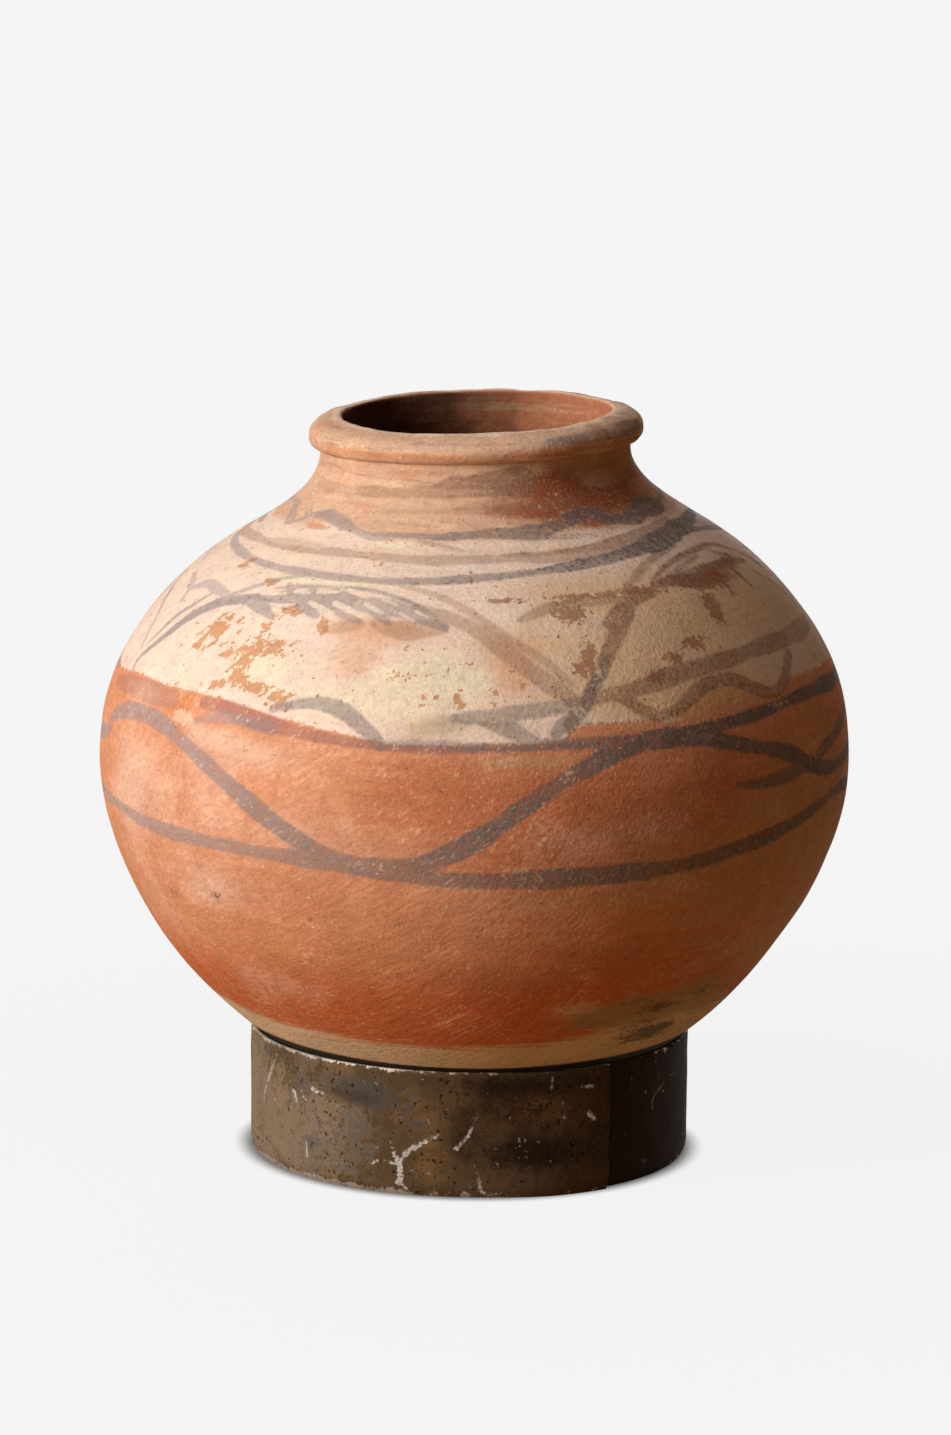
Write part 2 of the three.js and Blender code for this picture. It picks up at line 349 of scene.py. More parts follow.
URN_STAINS: dict[Stain, tuple[Patch, ...]] = {
    Stain.DEEP: (
        Patch(24, 200, 110, 46, 0.75), Patch(-4, 214, 46, 20, 0.6), Patch(8, 116, 130, 26, 0.65),
        Patch(60, 130, 90, 60, 0.5),
    ),
    Stain.FLAKE: (
        Patch(-52, 278, 9, 9, 1.1), Patch(-55, 269, 5, 7, 0.7), Patch(-47, 271, 8, 9, 0.62),
        Patch(-42, 270, 9, 7, 0.75), Patch(-37, 274, 11, 6, 0.85), Patch(-37, 289, 6, 5, 1.0),
        Patch(-41, 281, 5, 5, 0.7), Patch(-42, 261, 6, 6, 1.0), Patch(-46, 253, 8, 5, 0.8),
        Patch(-38, 256, 11, 5, 0.8), Patch(-32, 252, 8, 5, 0.9), Patch(-29, 285, 4, 6, 1.0),
        Patch(-60, 304, 7, 5, 0.9), Patch(-53, 304, 4, 4, 0.8), Patch(-47, 299, 5, 4, 0.9),
        Patch(-3, 256, 3, 5, 0.9), Patch(-7, 258, 6, 3, 0.7), Patch(3, 260, 3, 5, 0.8),
        Patch(-12, 268, 9, 6, 0.45), Patch(7, 264, 2, 4, 0.8), Patch(-1, 273, 4, 2, 0.6),
    ),
    Stain.SCAB: (
        Patch(17.5, 292, 11, 7, 0.95), Patch(19, 276, 5, 9, 0.95), Patch(17.5, 270, 5, 5, 0.9),
        Patch(4, 297.5, 14, 2.4, 0.85), Patch(20, 298, 22, 2.4, 0.85), Patch(35, 298.5, 18, 4, 0.9),
        Patch(30, 265, 6, 5, 0.9), Patch(34.5, 272, 7, 5, 0.95), Patch(40, 277.5, 10, 4, 0.95),
        Patch(49, 286.5, 5, 8, 0.9), Patch(55, 298.5, 16, 7, 1.1), Patch(50, 290, 5, 8, 0.9),
        Patch(13, 260, 5, 5, 0.7), Patch(13, 268, 5, 4, 0.5), Patch(24, 254, 8, 4, 0.5),
        Patch(40, 260, 10, 5, 0.4),
    ),
    Stain.BLOOM: (
        Patch(-5.5, 264, 26, 20, 1.0), Patch(-15, 259, 20, 16, 0.75), Patch(-39, 266, 24, 18, 0.9),
        Patch(-25, 254, 22, 9, 0.7), Patch(-22, 319, 16, 3, 0.9), Patch(-45, 310, 60, 4, 0.6),
        Patch(-36, 302, 60, 5, 0.8),
    ),
    Stain.OLIVE: (Patch(-4, 247.5, 20, 5, 1.0), Patch(-9, 241, 14, 5, 0.8), Patch(8, 239, 20, 3, 0.4)),
    Stain.PEACH: (Patch(-17, 285, 34, 8, 0.9), Patch(6, 272, 18, 20, 0.95), Patch(-21, 271, 22, 14, 0.7)),
    # pale haze: partly bloom on the clay, partly painted sheen, mostly on the lit left
    Stain.HAZE_AND_SHEEN: (
        Patch(-64, 243, 24, 6, 1.0), Patch(-62, 203, 36, 26, 0.9), Patch(-44, 207, 26, 18, 0.5),
        Patch(-36, 227, 34, 9, 0.8), Patch(-46, 232, 16, 5, 0.8), Patch(-43, 157, 36, 15, 0.8),
        Patch(-66, 165, 30, 30, 0.4), Patch(14, 190, 22, 16, 0.6), Patch(28, 198, 26, 12, 0.5),
        Patch(-62, 130, 30, 22, 0.4), Patch(-38, 108, 36, 14, 0.6), Patch(-36, 186, 46, 14, 0.4),
        Patch(-16, 184, 40, 12, 0.45), Patch(-24, 203, 30, 14, 0.35), Patch(22, 100, 13, 6, 1.1),
    ),
    Stain.DULL: (
        Patch(8, 161, 60, 8, 0.45), Patch(44, 168, 60, 9, 0.8), Patch(54, 182, 52, 24, 1.0),
        Patch(66, 150, 50, 36, 0.5), Patch(68, 195, 56, 40, 1.0), Patch(68, 116, 46, 22, 0.8),
        Patch(40, 150, 50, 16, 0.45), Patch(36, 184, 56, 18, 0.55), Patch(10, 230, 30, 4, 0.6),
        Patch(46, 125, 40, 16, 0.5),
    ),
    Stain.CLOUD: (
        Patch(36, 97, 26, 13, 1.3), Patch(50, 103, 22, 13, 1.0), Patch(24, 93, 16, 9, 0.8),
        Patch(58, 92, 20, 10, 0.7),
    ),
    # soot from firing; the last two patches, low on the right just above the ring, are painted shade
    Stain.SOOT_AND_SHADE: (
        Patch(40, 97, 14, 6, 1.0), Patch(50, 102, 9, 5, 0.9), Patch(33, 103, 18, 4, 0.55),
        Patch(38, 88, 14, 4, 0.5), Patch(-44, 152, 9, 6, 0.65), Patch(-55, 150, 7, 7, 0.6),
        Patch(46, 84, 14, 4, 0.7), Patch(42, 79, 22, 9, 1.2),
    ),
    Stain.SMUDGE: (
        Patch(30, 368, 14, 4, 1.0), Patch(48, 369, 20, 5, 0.9), Patch(70, 368, 18, 8, 1.0),
        Patch(-58, 367, 10, 3.5, 0.6), Patch(5, 368, 20, 2, 0.5), Patch(8, 345, 18, 6, 0.9),
        Patch(56, 328.5, 16, 5, 0.85), Patch(28, 321.5, 28, 4, 0.6),
    ),
    Stain.RUST: (
        Patch(27, 345.5, 18, 5, 1.1), Patch(33, 337, 16, 9, 0.8), Patch(10, 337, 24, 9, 0.65),
        Patch(24, 331, 24, 6, 0.7), Patch(46, 333, 26, 9, 0.8), Patch(64, 336, 24, 12, 0.7),
        Patch(40, 326, 16, 4, 0.7), Patch(30, 338, 24, 12, 0.5), Patch(-30, 351, 30, 4, 0.5),
        Patch(57, 299.5, 17, 7, 1.05), Patch(46, 300.5, 12, 6, 0.85), Patch(68, 302, 12, 6, 0.8),
    ),
    Stain.TAN: (
        Patch(40, 285, 70, 30, 0.8), Patch(75, 290, 60, 40, 0.5), Patch(20, 300, 40, 14, 0.5),
        Patch(-5, 317, 60, 5, 0.5), Patch(34, 257, 60, 14, 0.8), Patch(20, 268, 34, 20, 0.5),
        Patch(2, 281, 26, 8, 0.5),
    ),
    Stain.ORANGE: (
        Patch(-52, 361, 40, 3, 0.8), Patch(-12, 361, 36, 3, 0.75), Patch(26, 361, 20, 3, 1.0),
        Patch(60, 361, 30, 3, 0.6), Patch(-51, 323.6, 10, 3, 1.1), Patch(-82, 323.5, 6, 3, 0.8),
        Patch(-74, 240, 7, 6, 1.1), Patch(-51, 244, 5, 8, 1.2), Patch(-54, 239, 7, 4, 0.8),
        Patch(-40, 335, 30, 5, 0.5), Patch(50, 244, 30, 4, 0.5),
    ),
    Stain.WORN: (
        Patch(-12, 237, 8, 4, 0.85), Patch(4, 238, 14, 4, 0.7), Patch(16, 252, 6, 7, 1.0),
        Patch(20, 266, 6, 14, 0.85), Patch(27, 250, 10, 5, 0.7), Patch(-50, 235, 10, 5, 0.9),
        Patch(14, 222, 9, 9, 0.8), Patch(30, 319, 16, 3, 0.75), Patch(31, 246, 10, 3, 0.9),
        Patch(54, 246, 14, 4, 0.9), Patch(15, 319, 10, 3, 0.7), Patch(-52, 238, 8, 4, 0.9),
        Patch(52, 304, 14, 5, 0.95), Patch(-14, 179, 16, 7, 0.7), Patch(66, 300, 10, 6, 0.85),
        Patch(34, 303, 8, 8, 0.8), Patch(24, 180, 20, 6, 0.4),
    ),
}

STAND_CHIPS = (
    Stroke(((-68.6, 29), (-67.5, 36), (-64.5, 44), (-60, 57)), (1.1, 2.0), 0.6),
    Stroke(((-61.5, 35.5), (-57.7, 26)), (1.1, 1.7), 0.9),
    Stroke(((-51.5, 42), (-50, 37.5)), (3.1, 2.2), 0.95),
    Stroke(((-48.4, 43.5), (-46.8, 39.5)), (1.7, 2.0), 0.9),
    Stroke(((-44.1, 46), (-40.8, 44.5)), (2.8, 2.5), 0.95),
    Stroke(((-36.2, 40.4), (-35.8, 40.2)), (1.7, 1.4), 0.8),
    Stroke(((-46.2, 18.5), (-45.7, 11.5)), (1.7, 2.2), 0.75),
    Stroke(((-20.4, 26), (-19.1, 20), (-17.7, 15.5), (-17.5, 9), (-17.6, 6)), (1.4, 4.2), 0.85),
    Stroke(((-17.4, 6.5), (-15.9, 3)), (2.8, 2.0), 0.9),
    Stroke(((-18.0, 16), (-14.9, 22.5), (-11.3, 27), (-7.4, 31.5)), (3.4, 1.7), 0.75),
    Stroke(((-18.3, 15.2), (-22.7, 16), (-25.7, 14.2)), (1.3, 1.4), 0.85),
    Stroke(((-15.3, 13.2), (-13.4, 10.4)), (1.4, 1.1), 0.75),
    Stroke(((2.3, 40.7), (0.2, 32.2), (-0.8, 29.1), (-3.1, 24.8)), (1.1, 2.5), 0.75),
    Stroke(((1.1, 17.7), (2.7, 11.7), (3.2, 4.5), (4.8, 1.5)), (1.1, 1.7), 0.6),
    Stroke(((29.0, 54), (32.5, 53.3)), (2.0, 2.2), 0.5),
    Stroke(((31.2, 40), (32.4, 37.6)), (3.6, 3.4), 0.6),
    Stroke(((23.9, 47), (23.9, 45)), (1.7, 1.4), 0.45),
    Stroke(((24.1, 39.8), (24.4, 39)), (2.0, 1.7), 0.5),
    Stroke(((21.0, 60), (20.8, 54)), (1.4, 1.1), 0.4),
    Stroke(((44.6, 45), (46, 46.4)), (1.1, 1.1), 0.4),
    Stroke(((55.9, 34), (56.2, 40), (61.3, 45)), (1.7, 1.1), 0.35),
)
STAND_GOUGES = (
    Stroke(((-44.3, 35.3), (-41.8, 31.4)), (1.2, 1.2), 0.8),
    Stroke(((-52.2, 22), (-51.4, 20)), (2.0, 1.6), 0.8),
    Stroke(((9.6, 26), (12.2, 26.4)), (1.8, 1.4), 0.8),
    Stroke(((20.3, 24), (20.7, 19.5)), (1.4, 1.6), 0.8),
    Stroke(((29.8, 21), (31.4, 20)), (1.6, 1.4), 0.8),
    Stroke(((-8.9, 44.5), (-8.1, 43.6)), (1.6, 1.2), 0.7),
    Stroke(((-7.2, 58.8), (-5.6, 58.4)), (2.2, 1.6), 0.8),
)
STAND_STAINS: dict[Stain, tuple[Patch, ...]] = {
    Stain.BROWN: (
        Patch(-57, 42, 6, 12, 0.9), Patch(-78, 30, 10, 30, 0.7), Patch(-14, 42, 16, 14, 0.8),
        Patch(-36, 28, 14, 14, 0.6), Patch(-8, 16, 12, 14, 0.7), Patch(8, 40, 18, 18, 0.6),
        Patch(18, 45, 14, 10, 0.8),
    ),
    Stain.PINK: (Patch(-41, 31, 10, 8, 0.9), Patch(-36, 22, 9, 8, 0.8), Patch(-45, 24, 8, 8, 0.7)),
    # painted shade on the right side, which lies under the urn's belly, and along the top edge below the urn
    Stain.SHADE_AND_PATINA: (
        Patch(66, 30, 44, 60, 1.2), Patch(28, 30, 40, 60, 0.3), Patch(8, 46, 24, 12, 0.4),
        Patch(15, 24, 26, 30, 0.2), Patch(-33, 46, 24, 5, 0.6), Patch(16, 22, 24, 7, 0.6),
        Patch(6, 30, 28, 60, 0.15), Patch(-2, 30, 8, 12, 0.45), Patch(-60, 58, 20, 5, 0.5),
        Patch(10, 57, 60, 6, 0.5),
    ),
    Stain.TAN: (
        Patch(-74, 30, 36, 50, 1.1), Patch(-52, 16, 20, 20, 0.6), Patch(-42, 30, 24, 40, 0.7),
        Patch(-29, 26, 14, 24, 0.5),
    ),
    Stain.GREY: (
        Patch(-33, 52, 22, 6, 0.9), Patch(-24, 47, 18, 5, 0.9), Patch(-50, 44, 10, 10, 0.8),
        Patch(-44, 18, 12, 16, 0.6), Patch(-30, 24, 14, 20, 0.7), Patch(-66, 52, 6, 10, 0.5),
        Patch(25, 20, 30, 12, 0.35), Patch(-14, 38, 8, 12, 0.6), Patch(-70, 20, 8, 16, 0.6),
    ),
}


@dataclass(frozen=True)
class Pattern:
    """A cloudy pattern: its blots' sizes along three axes in millimetres, and how those axes are turned."""

    name: str
    size: tuple[float, float, float]
    detail: float = 3.0
    turn_deg: tuple[float, float, float] = (0.0, 0.0, 0.0)


Swings = tuple[tuple[str, float], ...]
# A noise swings about this value, and this share of each octave carries on to the next finer one.
NOISE_MIDDLE = 0.5
NOISE_ROUGHNESS = 0.6


@dataclass(frozen=True)
class Coat:
    """A coat of colour, laid where a field of the piece, roughened by patterns, passes from low to high."""

    field: str
    colour: str
    low: float
    high: float
    edge: Swings = ()  # patterns that move the coat's edge, and how far
    share: float = 1.0
    loaded: bool = False  # whether the piece says how much paint each mark carries
    fade: Swings = ()  # patterns that thin and thicken the coat inside its edge
    roughness: float | None = None
    metallic: float | None = None
    relief: float = 0.0  # how far it stands proud, in millimetres


@dataclass(frozen=True)
class Finish:
    """A surface: the ground, its patterns, the coats on it from the lowest up, and its fine relief."""

    name: str
    ground: str
    roughness: float
    specular: float
    patterns: tuple[Pattern, ...]
    coats: tuple[Coat, ...]
    shades: Swings  # how far a pattern lightens and darkens all coats
    relief: Swings  # how far a pattern raises the surface, in millimetres
    metallic: float = 0.0

    def material(self) -> bpy.types.Material:
        """Makes the finish as a node material.

        Returns:
            The material, which reads the fields that its pieces carry.
        """
        material = bpy.data.materials.new(self.name)
        material.use_nodes = True
        tree = material.node_tree
        tree.nodes.clear()
        add = partial(add_node, tree)
        patterns = self.set_out(add)
        looks = {
            "Base Color": linear_colour(self.ground),
            "Roughness": self.roughness,
            "Metallic": self.metallic,
        }
        height = self.swung(add, patterns, self.relief, 0.0)
        for coat in self.coats:
            cover = self.cover(add, patterns, coat)
            looks["Base Color"] = add(
                "ShaderNodeMix",
                {"data_type": "RGBA"},
                {0: cover, 1: looks["Base Color"], 2: linear_colour(coat.colour)},
            )
            for name, value in (("Roughness", coat.roughness), ("Metallic", coat.metallic)):
                if value is not None:
                    looks[name] = add("ShaderNodeMix", {}, {0: cover, 1: looks[name], 2: value})
            if coat.relief:
                height = add(
                    "ShaderNodeMath", {"operation": "MULTIPLY_ADD"}, {0: cover, 1: coat.relief, 2: height}
                )
        looks["Base Color"] = add(
            "ShaderNodeVectorMath",
            {"operation": "SCALE"},
            {"Vector": looks["Base Color"], "Scale": self.swung(add, patterns, self.shades, 1.0)},
        )
        looks["Normal"] = add("ShaderNodeBump", {}, {"Strength": 1.0, "Distance": MM, "Height": height})
        looks["Specular IOR Level"] = self.specular
        surface = add("ShaderNodeBsdfPrincipled", {}, looks)
        add("ShaderNodeOutputMaterial", {}, {"Surface": surface})
        return material

    def set_out(self, add: partial) -> dict[str, Socket]:
        """Sets out the patterns over the object's own millimetres.

        Args:
            add: adds a node to the material.

        Returns:
            Each pattern by its name, swinging about zero.
        """
        point = add("ShaderNodeTexCoord", {}, {}, "Object")
        place = add("ShaderNodeVectorMath", {"operation": "SCALE"}, {"Vector": point, "Scale": 1 / MM})
        patterns = {}
        for pattern in self.patterns:
            turn = tuple(math.radians(angle) for angle in pattern.turn_deg)
            laid = add(
                "ShaderNodeMapping",
                {"vector_type": "TEXTURE"},
                {"Vector": place, "Rotation": turn, "Scale": pattern.size},
            )
            blots = add(
                "ShaderNodeTexNoise",
                {},
                {"Vector": laid, "Scale": 1.0, "Detail": pattern.detail, "Roughness": NOISE_ROUGHNESS},
            )
            patterns[pattern.name] = add(
                "ShaderNodeMath", {"operation": "SUBTRACT"}, {0: blots, 1: NOISE_MIDDLE}
            )
        return patterns

    def swung(
        self, add: partial, patterns: dict[str, Socket], swings: Swings, start: float | Socket
    ) -> float | Socket:
        """Adds patterns to a value.

        Args:
            add: adds a node to the material.
            patterns: the patterns by name.
            swings: the patterns wanted, and how far each swings the value.
            start: the value without them.

        Returns:
            The value with them.
        """
        value = start
        for name, swing in swings:
            value = add(
                "ShaderNodeMath", {"operation": "MULTIPLY_ADD"}, {0: patterns[name], 1: swing, 2: value}
            )
        return value

    def cover(self, add: partial, patterns: dict[str, Socket], coat: Coat) -> Socket:
        """Works out where a coat covers.

        Args:
            add: adds a node to the material.
            patterns: the patterns by name.
            coat: the coat.

        Returns:
            A share from 0 to 1.
        """
        field = add("ShaderNodeAttribute", {"attribute_name": coat.field}, {}, "Fac") if coat.field else 0.0
        cover = add(
            "ShaderNodeMapRange",
            {"interpolation_type": "SMOOTHSTEP"},
            {
                "Value": self.swung(add, patterns, coat.edge, field),
                "From Min": coat.low,
                "From Max": coat.high,
                "To Max": coat.share,
            },
        )
        if coat.fade:
            thickness = self.swung(add, patterns, coat.fade, 1.0)
            cover = add("ShaderNodeMath", {"operation": "MULTIPLY"}, {0: cover, 1: thickness})
        if coat.loaded:
            load = add("ShaderNodeAttribute", {"attribute_name": coat.field + "_load"}, {}, "Fac")
            cover = add("ShaderNodeMath", {"operation": "MULTIPLY"}, {0: cover, 1: load})
        return cover


# Low-fired earthenware. The eye sees a red slip rubbed with a pebble, dull and streaked; a chalky cream slip
# brushed over it, flaked off in scabs; purple-grey and brown mineral paint; and bare buff clay at the base,
# neck and rim.
EARTHENWARE = Finish(
    name="earthenware_slip_painted_and_burnished",
    ground="d8956e",
    roughness=0.75,
    specular=0.03,
    patterns=(
        Pattern("clouds", (60, 60, 60), 4),
        Pattern("blotches", (22, 22, 22), 4),
        Pattern("dry", (4, 4, 4), 4),
        Pattern("sand", (2, 2, 2), 2),  # real sand is about 0.5 mm; drawn coarser so that it shows
        Pattern("streaks", (46, 46, 5), 5),
        Pattern("brushed", (40, 40, 1.9), 4),  # bristle marks, drawn about twice as coarse as they are
        Pattern("slanted", (8, 3.6, 3.6), 2, (0, -45, -45)),
        Pattern("rubbed", (26, 2.2, 2.2), 3, (0, -30, -30)),
        Pattern("flecks", (5, 1.5, 1.5), 1, (0, -38, -20)),
        Pattern("scuffs", (6, 1.6, 1.6), 1, (0, 42, 25)),
        Pattern("grit", (2.6, 2.6, 2.6), 0),
        Pattern("pits", (3.4, 3.4, 3.4), 0),
    ),
    coats=(
        # the red slip, deeper low down, streaked, and hazed partly with painted sheen
        Coat("", "c87a54", 0.03, 0.25, (("streaks", 1.0),), 0.4),
        Coat("", "cc8058", 0.04, 0.25, (("clouds", 1.0),), 0.4),
        Coat("height", "d89062", 175, 105, (("clouds", 60),), 0.75),
        Coat(Stain.DEEP.value, "c0724a", 0.15, 0.8, (("clouds", 0.9), ("streaks", 0.9)), 0.75),
        Coat("height", "c96634", 130, 98, (("streaks", 40),), 0.75),
        Coat(Stain.DULL.value, "c9a078", 0.05, 1.0, (("brushed", 1.4), ("streaks", 1.4)), 0.8),
        # pale haze: partly bloom, partly painted sheen
        Coat(Stain.HAZE_AND_SHEEN.value, "e2bba2", 0.1, 1.1, (("blotches", 1.0), ("dry", 0.4)), 0.72, roughness=0.75),
        Coat("", "a9714c", 0.13, 0.3, (("brushed", 1.0), ("clouds", 0.6)), 0.35),
        Coat("", "e8bd98", 0.1, 0.3, (("rubbed", 1.0), ("blotches", 0.6)), 0.45),
        Coat(Mark.SCRATCH.value, "e6b58e", -0.2, 0.4, (("dry", 1.2),), loaded=True, relief=-0.1),
        # the cream slip over it
        Coat("cream_foot", "ecd4bf", -0.8, 1.0, (("dry", 4.0), ("sand", 1.6)), roughness=0.8, relief=0.12),
        Coat("cream", "ddb896", 1.02, 1.3, (("blotches", 1.2), ("dry", 0.4)), 0.5),
        Coat(Stain.TAN.value, "dab37c", 0.15, 0.9, (("blotches", 0.9), ("dry", 0.5)), 0.65),
        Coat(Stain.PEACH.value, "e2b08a", 0.15, 0.95, (("clouds", 0.6), ("dry", 0.4)), 0.85),
        Coat(Stain.BLOOM.value, "ecdcbc", 0.3, 0.85, (("blotches", 0.7), ("dry", 0.4)), 0.95),
        Coat(Stain.OLIVE.value, "b5a37c", 0.3, 1.0, (("dry", 1.6),), 0.6),
        Coat(
            Stain.FLAKE.value, "cd9b72", 0.54, 0.68, (("slanted", 2.8), ("sand", 1.6)),
            roughness=0.85, relief=-0.15,
        ),
        Coat(Stain.SCAB.value, "985e42", 0.5, 0.7, (("slanted", 1.6), ("sand", 1.4)), 0.7, relief=-0.15),
        # bare clay
        Coat("neck_foot", "d8b192", -4.0, 4.0, (("streaks", 14.0), ("sand", 3.0)), roughness=0.85),
        Coat("neck", "cb9068", 1.0, 1.25, (("blotches", 1.0), ("clouds", 1.0)), 0.65),
        Coat("neck", "ab8064", 1.05, 1.3, (("brushed", 1.2), ("streaks", 1.0)), 0.6),
        Coat("neck", "e8cdb2", 1.05, 1.3, (("streaks", 1.2), ("blotches", 0.9), ("dry", 0.5)), 0.6),
        Coat("bare_base", "e2cba8", 5.0, -4.0, (("brushed", 24.0), ("sand", 4.0)), 0.95, roughness=0.85),
        Coat(Stain.ORANGE.value, "cc8450", 0.3, 0.9, (("dry", 0.6), ("brushed", 0.8)), 0.65),
        Coat(Stain.RUST.value, "96512f", 0.1, 1.15, (("streaks", 1.4), ("dry", 0.9), ("rubbed", 0.8)), 0.9),
        Coat(Stain.SMUDGE.value, "6a5f5b", 0.3, 1.1, (("brushed", 1.8), ("dry", 1.2)), 0.65),
        # mineral paints
        Coat(
            Mark.MAROON.value, "a67468", -1.0, 1.2, (("dry", 2.2), ("sand", 0.8)),
            loaded=True, fade=(("rubbed", 1.2), ("dry", 0.9), ("sand", 0.5)),
        ),
        Coat(
            Mark.WASH.value, "967059", -1.0, 1.2, (("dry", 1.8), ("sand", 0.9)),
            loaded=True, fade=(("rubbed", 1.6), ("dry", 1.2), ("blotches", 0.6)),
        ),
        Coat(
            Mark.INK.value, "726862", -0.9, 1.1, (("dry", 1.8), ("sand", 0.9)),
            loaded=True, fade=(("rubbed", 1.0), ("dry", 1.3), ("sand", 0.8), ("blotches", 0.7)),
        ),
        Coat(
            "chalked", "b6a9aa", -0.9, 1.1, (("dry", 1.8), ("sand", 0.9)),
            loaded=True, fade=(("rubbed", 2.2), ("dry", 1.8)),
        ),
        Coat(Mark.SLIT.value, "e8d2bc", -0.5, 0.5, (("dry", 1.2), ("sand", 0.6)), loaded=True),
        Coat(Stain.WORN.value, "e4cdb2", 0.74, 0.94, (("sand", 1.8), ("flecks", 0.6)), 0.55, relief=-0.06),
        # wear and dirt, with painted highlight and painted shade
        Coat("", "e8c8a6", 0.13, 0.26, (("flecks", 1.0), ("blotches", 0.5)), 0.36, relief=0.05),
        Coat("", "e8c8a6", 0.15, 0.28, (("scuffs", 1.0), ("clouds", 0.5)), 0.32, relief=0.05),
        Coat("", "f2e2ca", 0.3, 0.34, (("grit", 1.0),), 0.35, relief=0.08),
        Coat("", "5a4335", 0.35, 0.38, (("pits", 1.0),), 0.4, relief=-0.25),
        # the pale lip: partly wear, partly painted highlight along the crest
        Coat("lip", "ecd0b4", 0.45, 0.95, (("dry", 1.6), ("blotches", 1.4)), 0.8, roughness=0.85),
        Coat(Stain.CLOUD.value, "a58f66", 0.2, 0.9, (("brushed", 1.4), ("blotches", 1.2)), 0.8),
        # soot, and painted shade low on the right above the ring
        Coat(Stain.SOOT_AND_SHADE.value, "4d4433", 0.35, 1.2, (("brushed", 1.2), ("dry", 1.8), ("sand", 1.6)), 0.8),
        Coat(
            "inside", "b97755", 0.5, 2.5, (("dry", 2.0),),
            fade=(("streaks", 1.4), ("brushed", 1.0)), roughness=0.85,
        ),
        # painted shade, darker deeper inside the mouth
        Coat("inside", "5e3220", 10.0, 44.0, (("blotches", 16.0), ("brushed", 16.0)), 0.8),
        # painted shade on the left-back of the inside
        Coat("smoked", "2a140d", 0.14, 1.0, (("blotches", 0.6),), 0.88),
        # painted shade in the groove under the rim and round the seat in the ring
        Coat("crevice", "120a06", 0.2, 0.8, (("sand", 0.4),), 0.95),
    ),
    shades=(("sand", 0.34), ("dry", 0.36), ("rubbed", 0.4), ("blotches", 0.4)),
    relief=(("sand", 0.2), ("dry", 0.24), ("streaks", 0.3), ("rubbed", 0.26)),
)

# Rolled steel strip, browned by handling and time. The eye sees a dull, blotched skin of oxide, grey where it
# is rubbed thin, with bright chips and scratches down to bare metal.
BROWNED_STRIP = Finish(
    name="steel_strip_rolled_and_browned",
    ground="5c4a33",
    roughness=0.7,
    specular=0.03,
    patterns=(
        Pattern("clouds", (26, 26, 26), 5),
        Pattern("mottle", (7, 7, 7), 5),
        Pattern("sand", (1.6, 1.6, 1.6), 3),
        Pattern("runs", (2.7, 2.7, 24), 4),
        Pattern("specks", (2.4, 2.4, 2.4), 1),
    ),
    coats=(
        Coat("", "7a5f3e", -0.02, 0.2, (("clouds", 1.0), ("mottle", 0.4)), 0.8),
        Coat("", "453522", 0.03, 0.2, (("mottle", 1.0),), 0.6),
        Coat(Stain.BROWN.value, "7c5a36", 0.3, 1.0, (("mottle", 1.6), ("sand", 0.8)), 0.75),
        Coat(Stain.PINK.value, "806656", 0.4, 1.0, (("mottle", 1.6), ("sand", 0.8)), 0.75),
        Coat(Stain.TAN.value, "8f7d66", 0.25, 0.9, (("mottle", 1.4), ("sand", 1.0)), 0.7),
        Coat(Stain.GREY.value, "504f4c", 0.35, 0.95, (("mottle", 3.0), ("sand", 2.4)), 0.75),
        Coat("", "2b2118", 0.1, 0.24, (("runs", 1.0),), 0.5),
        # painted shade on the right side and top edge, and the lap's painted shadow and darker patina
        Coat(Stain.SHADE_AND_PATINA.value, "20120a", 0.15, 1.0, (("mottle", 1.2), ("sand", 0.9)), 0.9),
        Coat("", "201813", 0.13, 0.24, (("mottle", 1.0),), 0.7, relief=-0.06),
        Coat("", "17110c", 0.17, 0.23, (("specks", 1.0), ("clouds", 0.5)), 0.8, relief=-0.08),
        Coat("", "b5ab9c", 0.27, 0.31, (("specks", -1.0),), 0.35),
        Coat(
            Mark.GOUGE.value, "1b1612", -0.3, 0.3, (("mottle", 2.0), ("sand", 1.6)),
            loaded=True, relief=-0.25,
        ),
        Coat(
            Mark.CHIP.value, "bdb5aa", -0.4, 0.5, (("sand", 3.4), ("mottle", 2.4)),
            loaded=True, fade=(("sand", 1.2),), roughness=0.4, metallic=0.6, relief=-0.12,
        ),
        Coat(
            "rubbed", "b9ad9d", 0.42, 0.8, (("mottle", 2.2), ("sand", 1.6)),
            0.8, roughness=0.42, metallic=0.5,
        ),
    ),
    shades=(("mottle", 0.6), ("sand", 0.4)),
    relief=(("mottle", 0.12), ("sand", 0.08)),
)

# Brass filler, melted into the lap. The eye sees dull yellow-brown with dark flux stains.
TARNISHED_BRAZE = Finish(
    name="brass_braze_melted_and_tarnished",
    ground="43351f",
    roughness=0.5,
    specular=0.5,
    patterns=(Pattern("mottle", (5, 5, 5), 4),),
    coats=(Coat("", "8a6f42", -0.15, 0.1, (("mottle", 1.0),), metallic=0.8),),
    shades=(("mottle", 0.4),),
    relief=(("mottle", 0.1),),
)


def linear_colour(code: str) -> tuple[float, float, float, float]:
    """Turns an sRGB hex value into linear light.

    Args:
        code: six hex digits.

    Returns:
        Red, green, blue and an alpha of 1.
    """
    shares = (int(code[i:i + 2], 16) / 255 for i in (0, 2, 4))
    red, green, blue = (s / 12.92 if s <= 0.04045 else ((s + 0.055) / 1.055) ** 2.4 for s in shares)
    return red, green, blue, 1.0


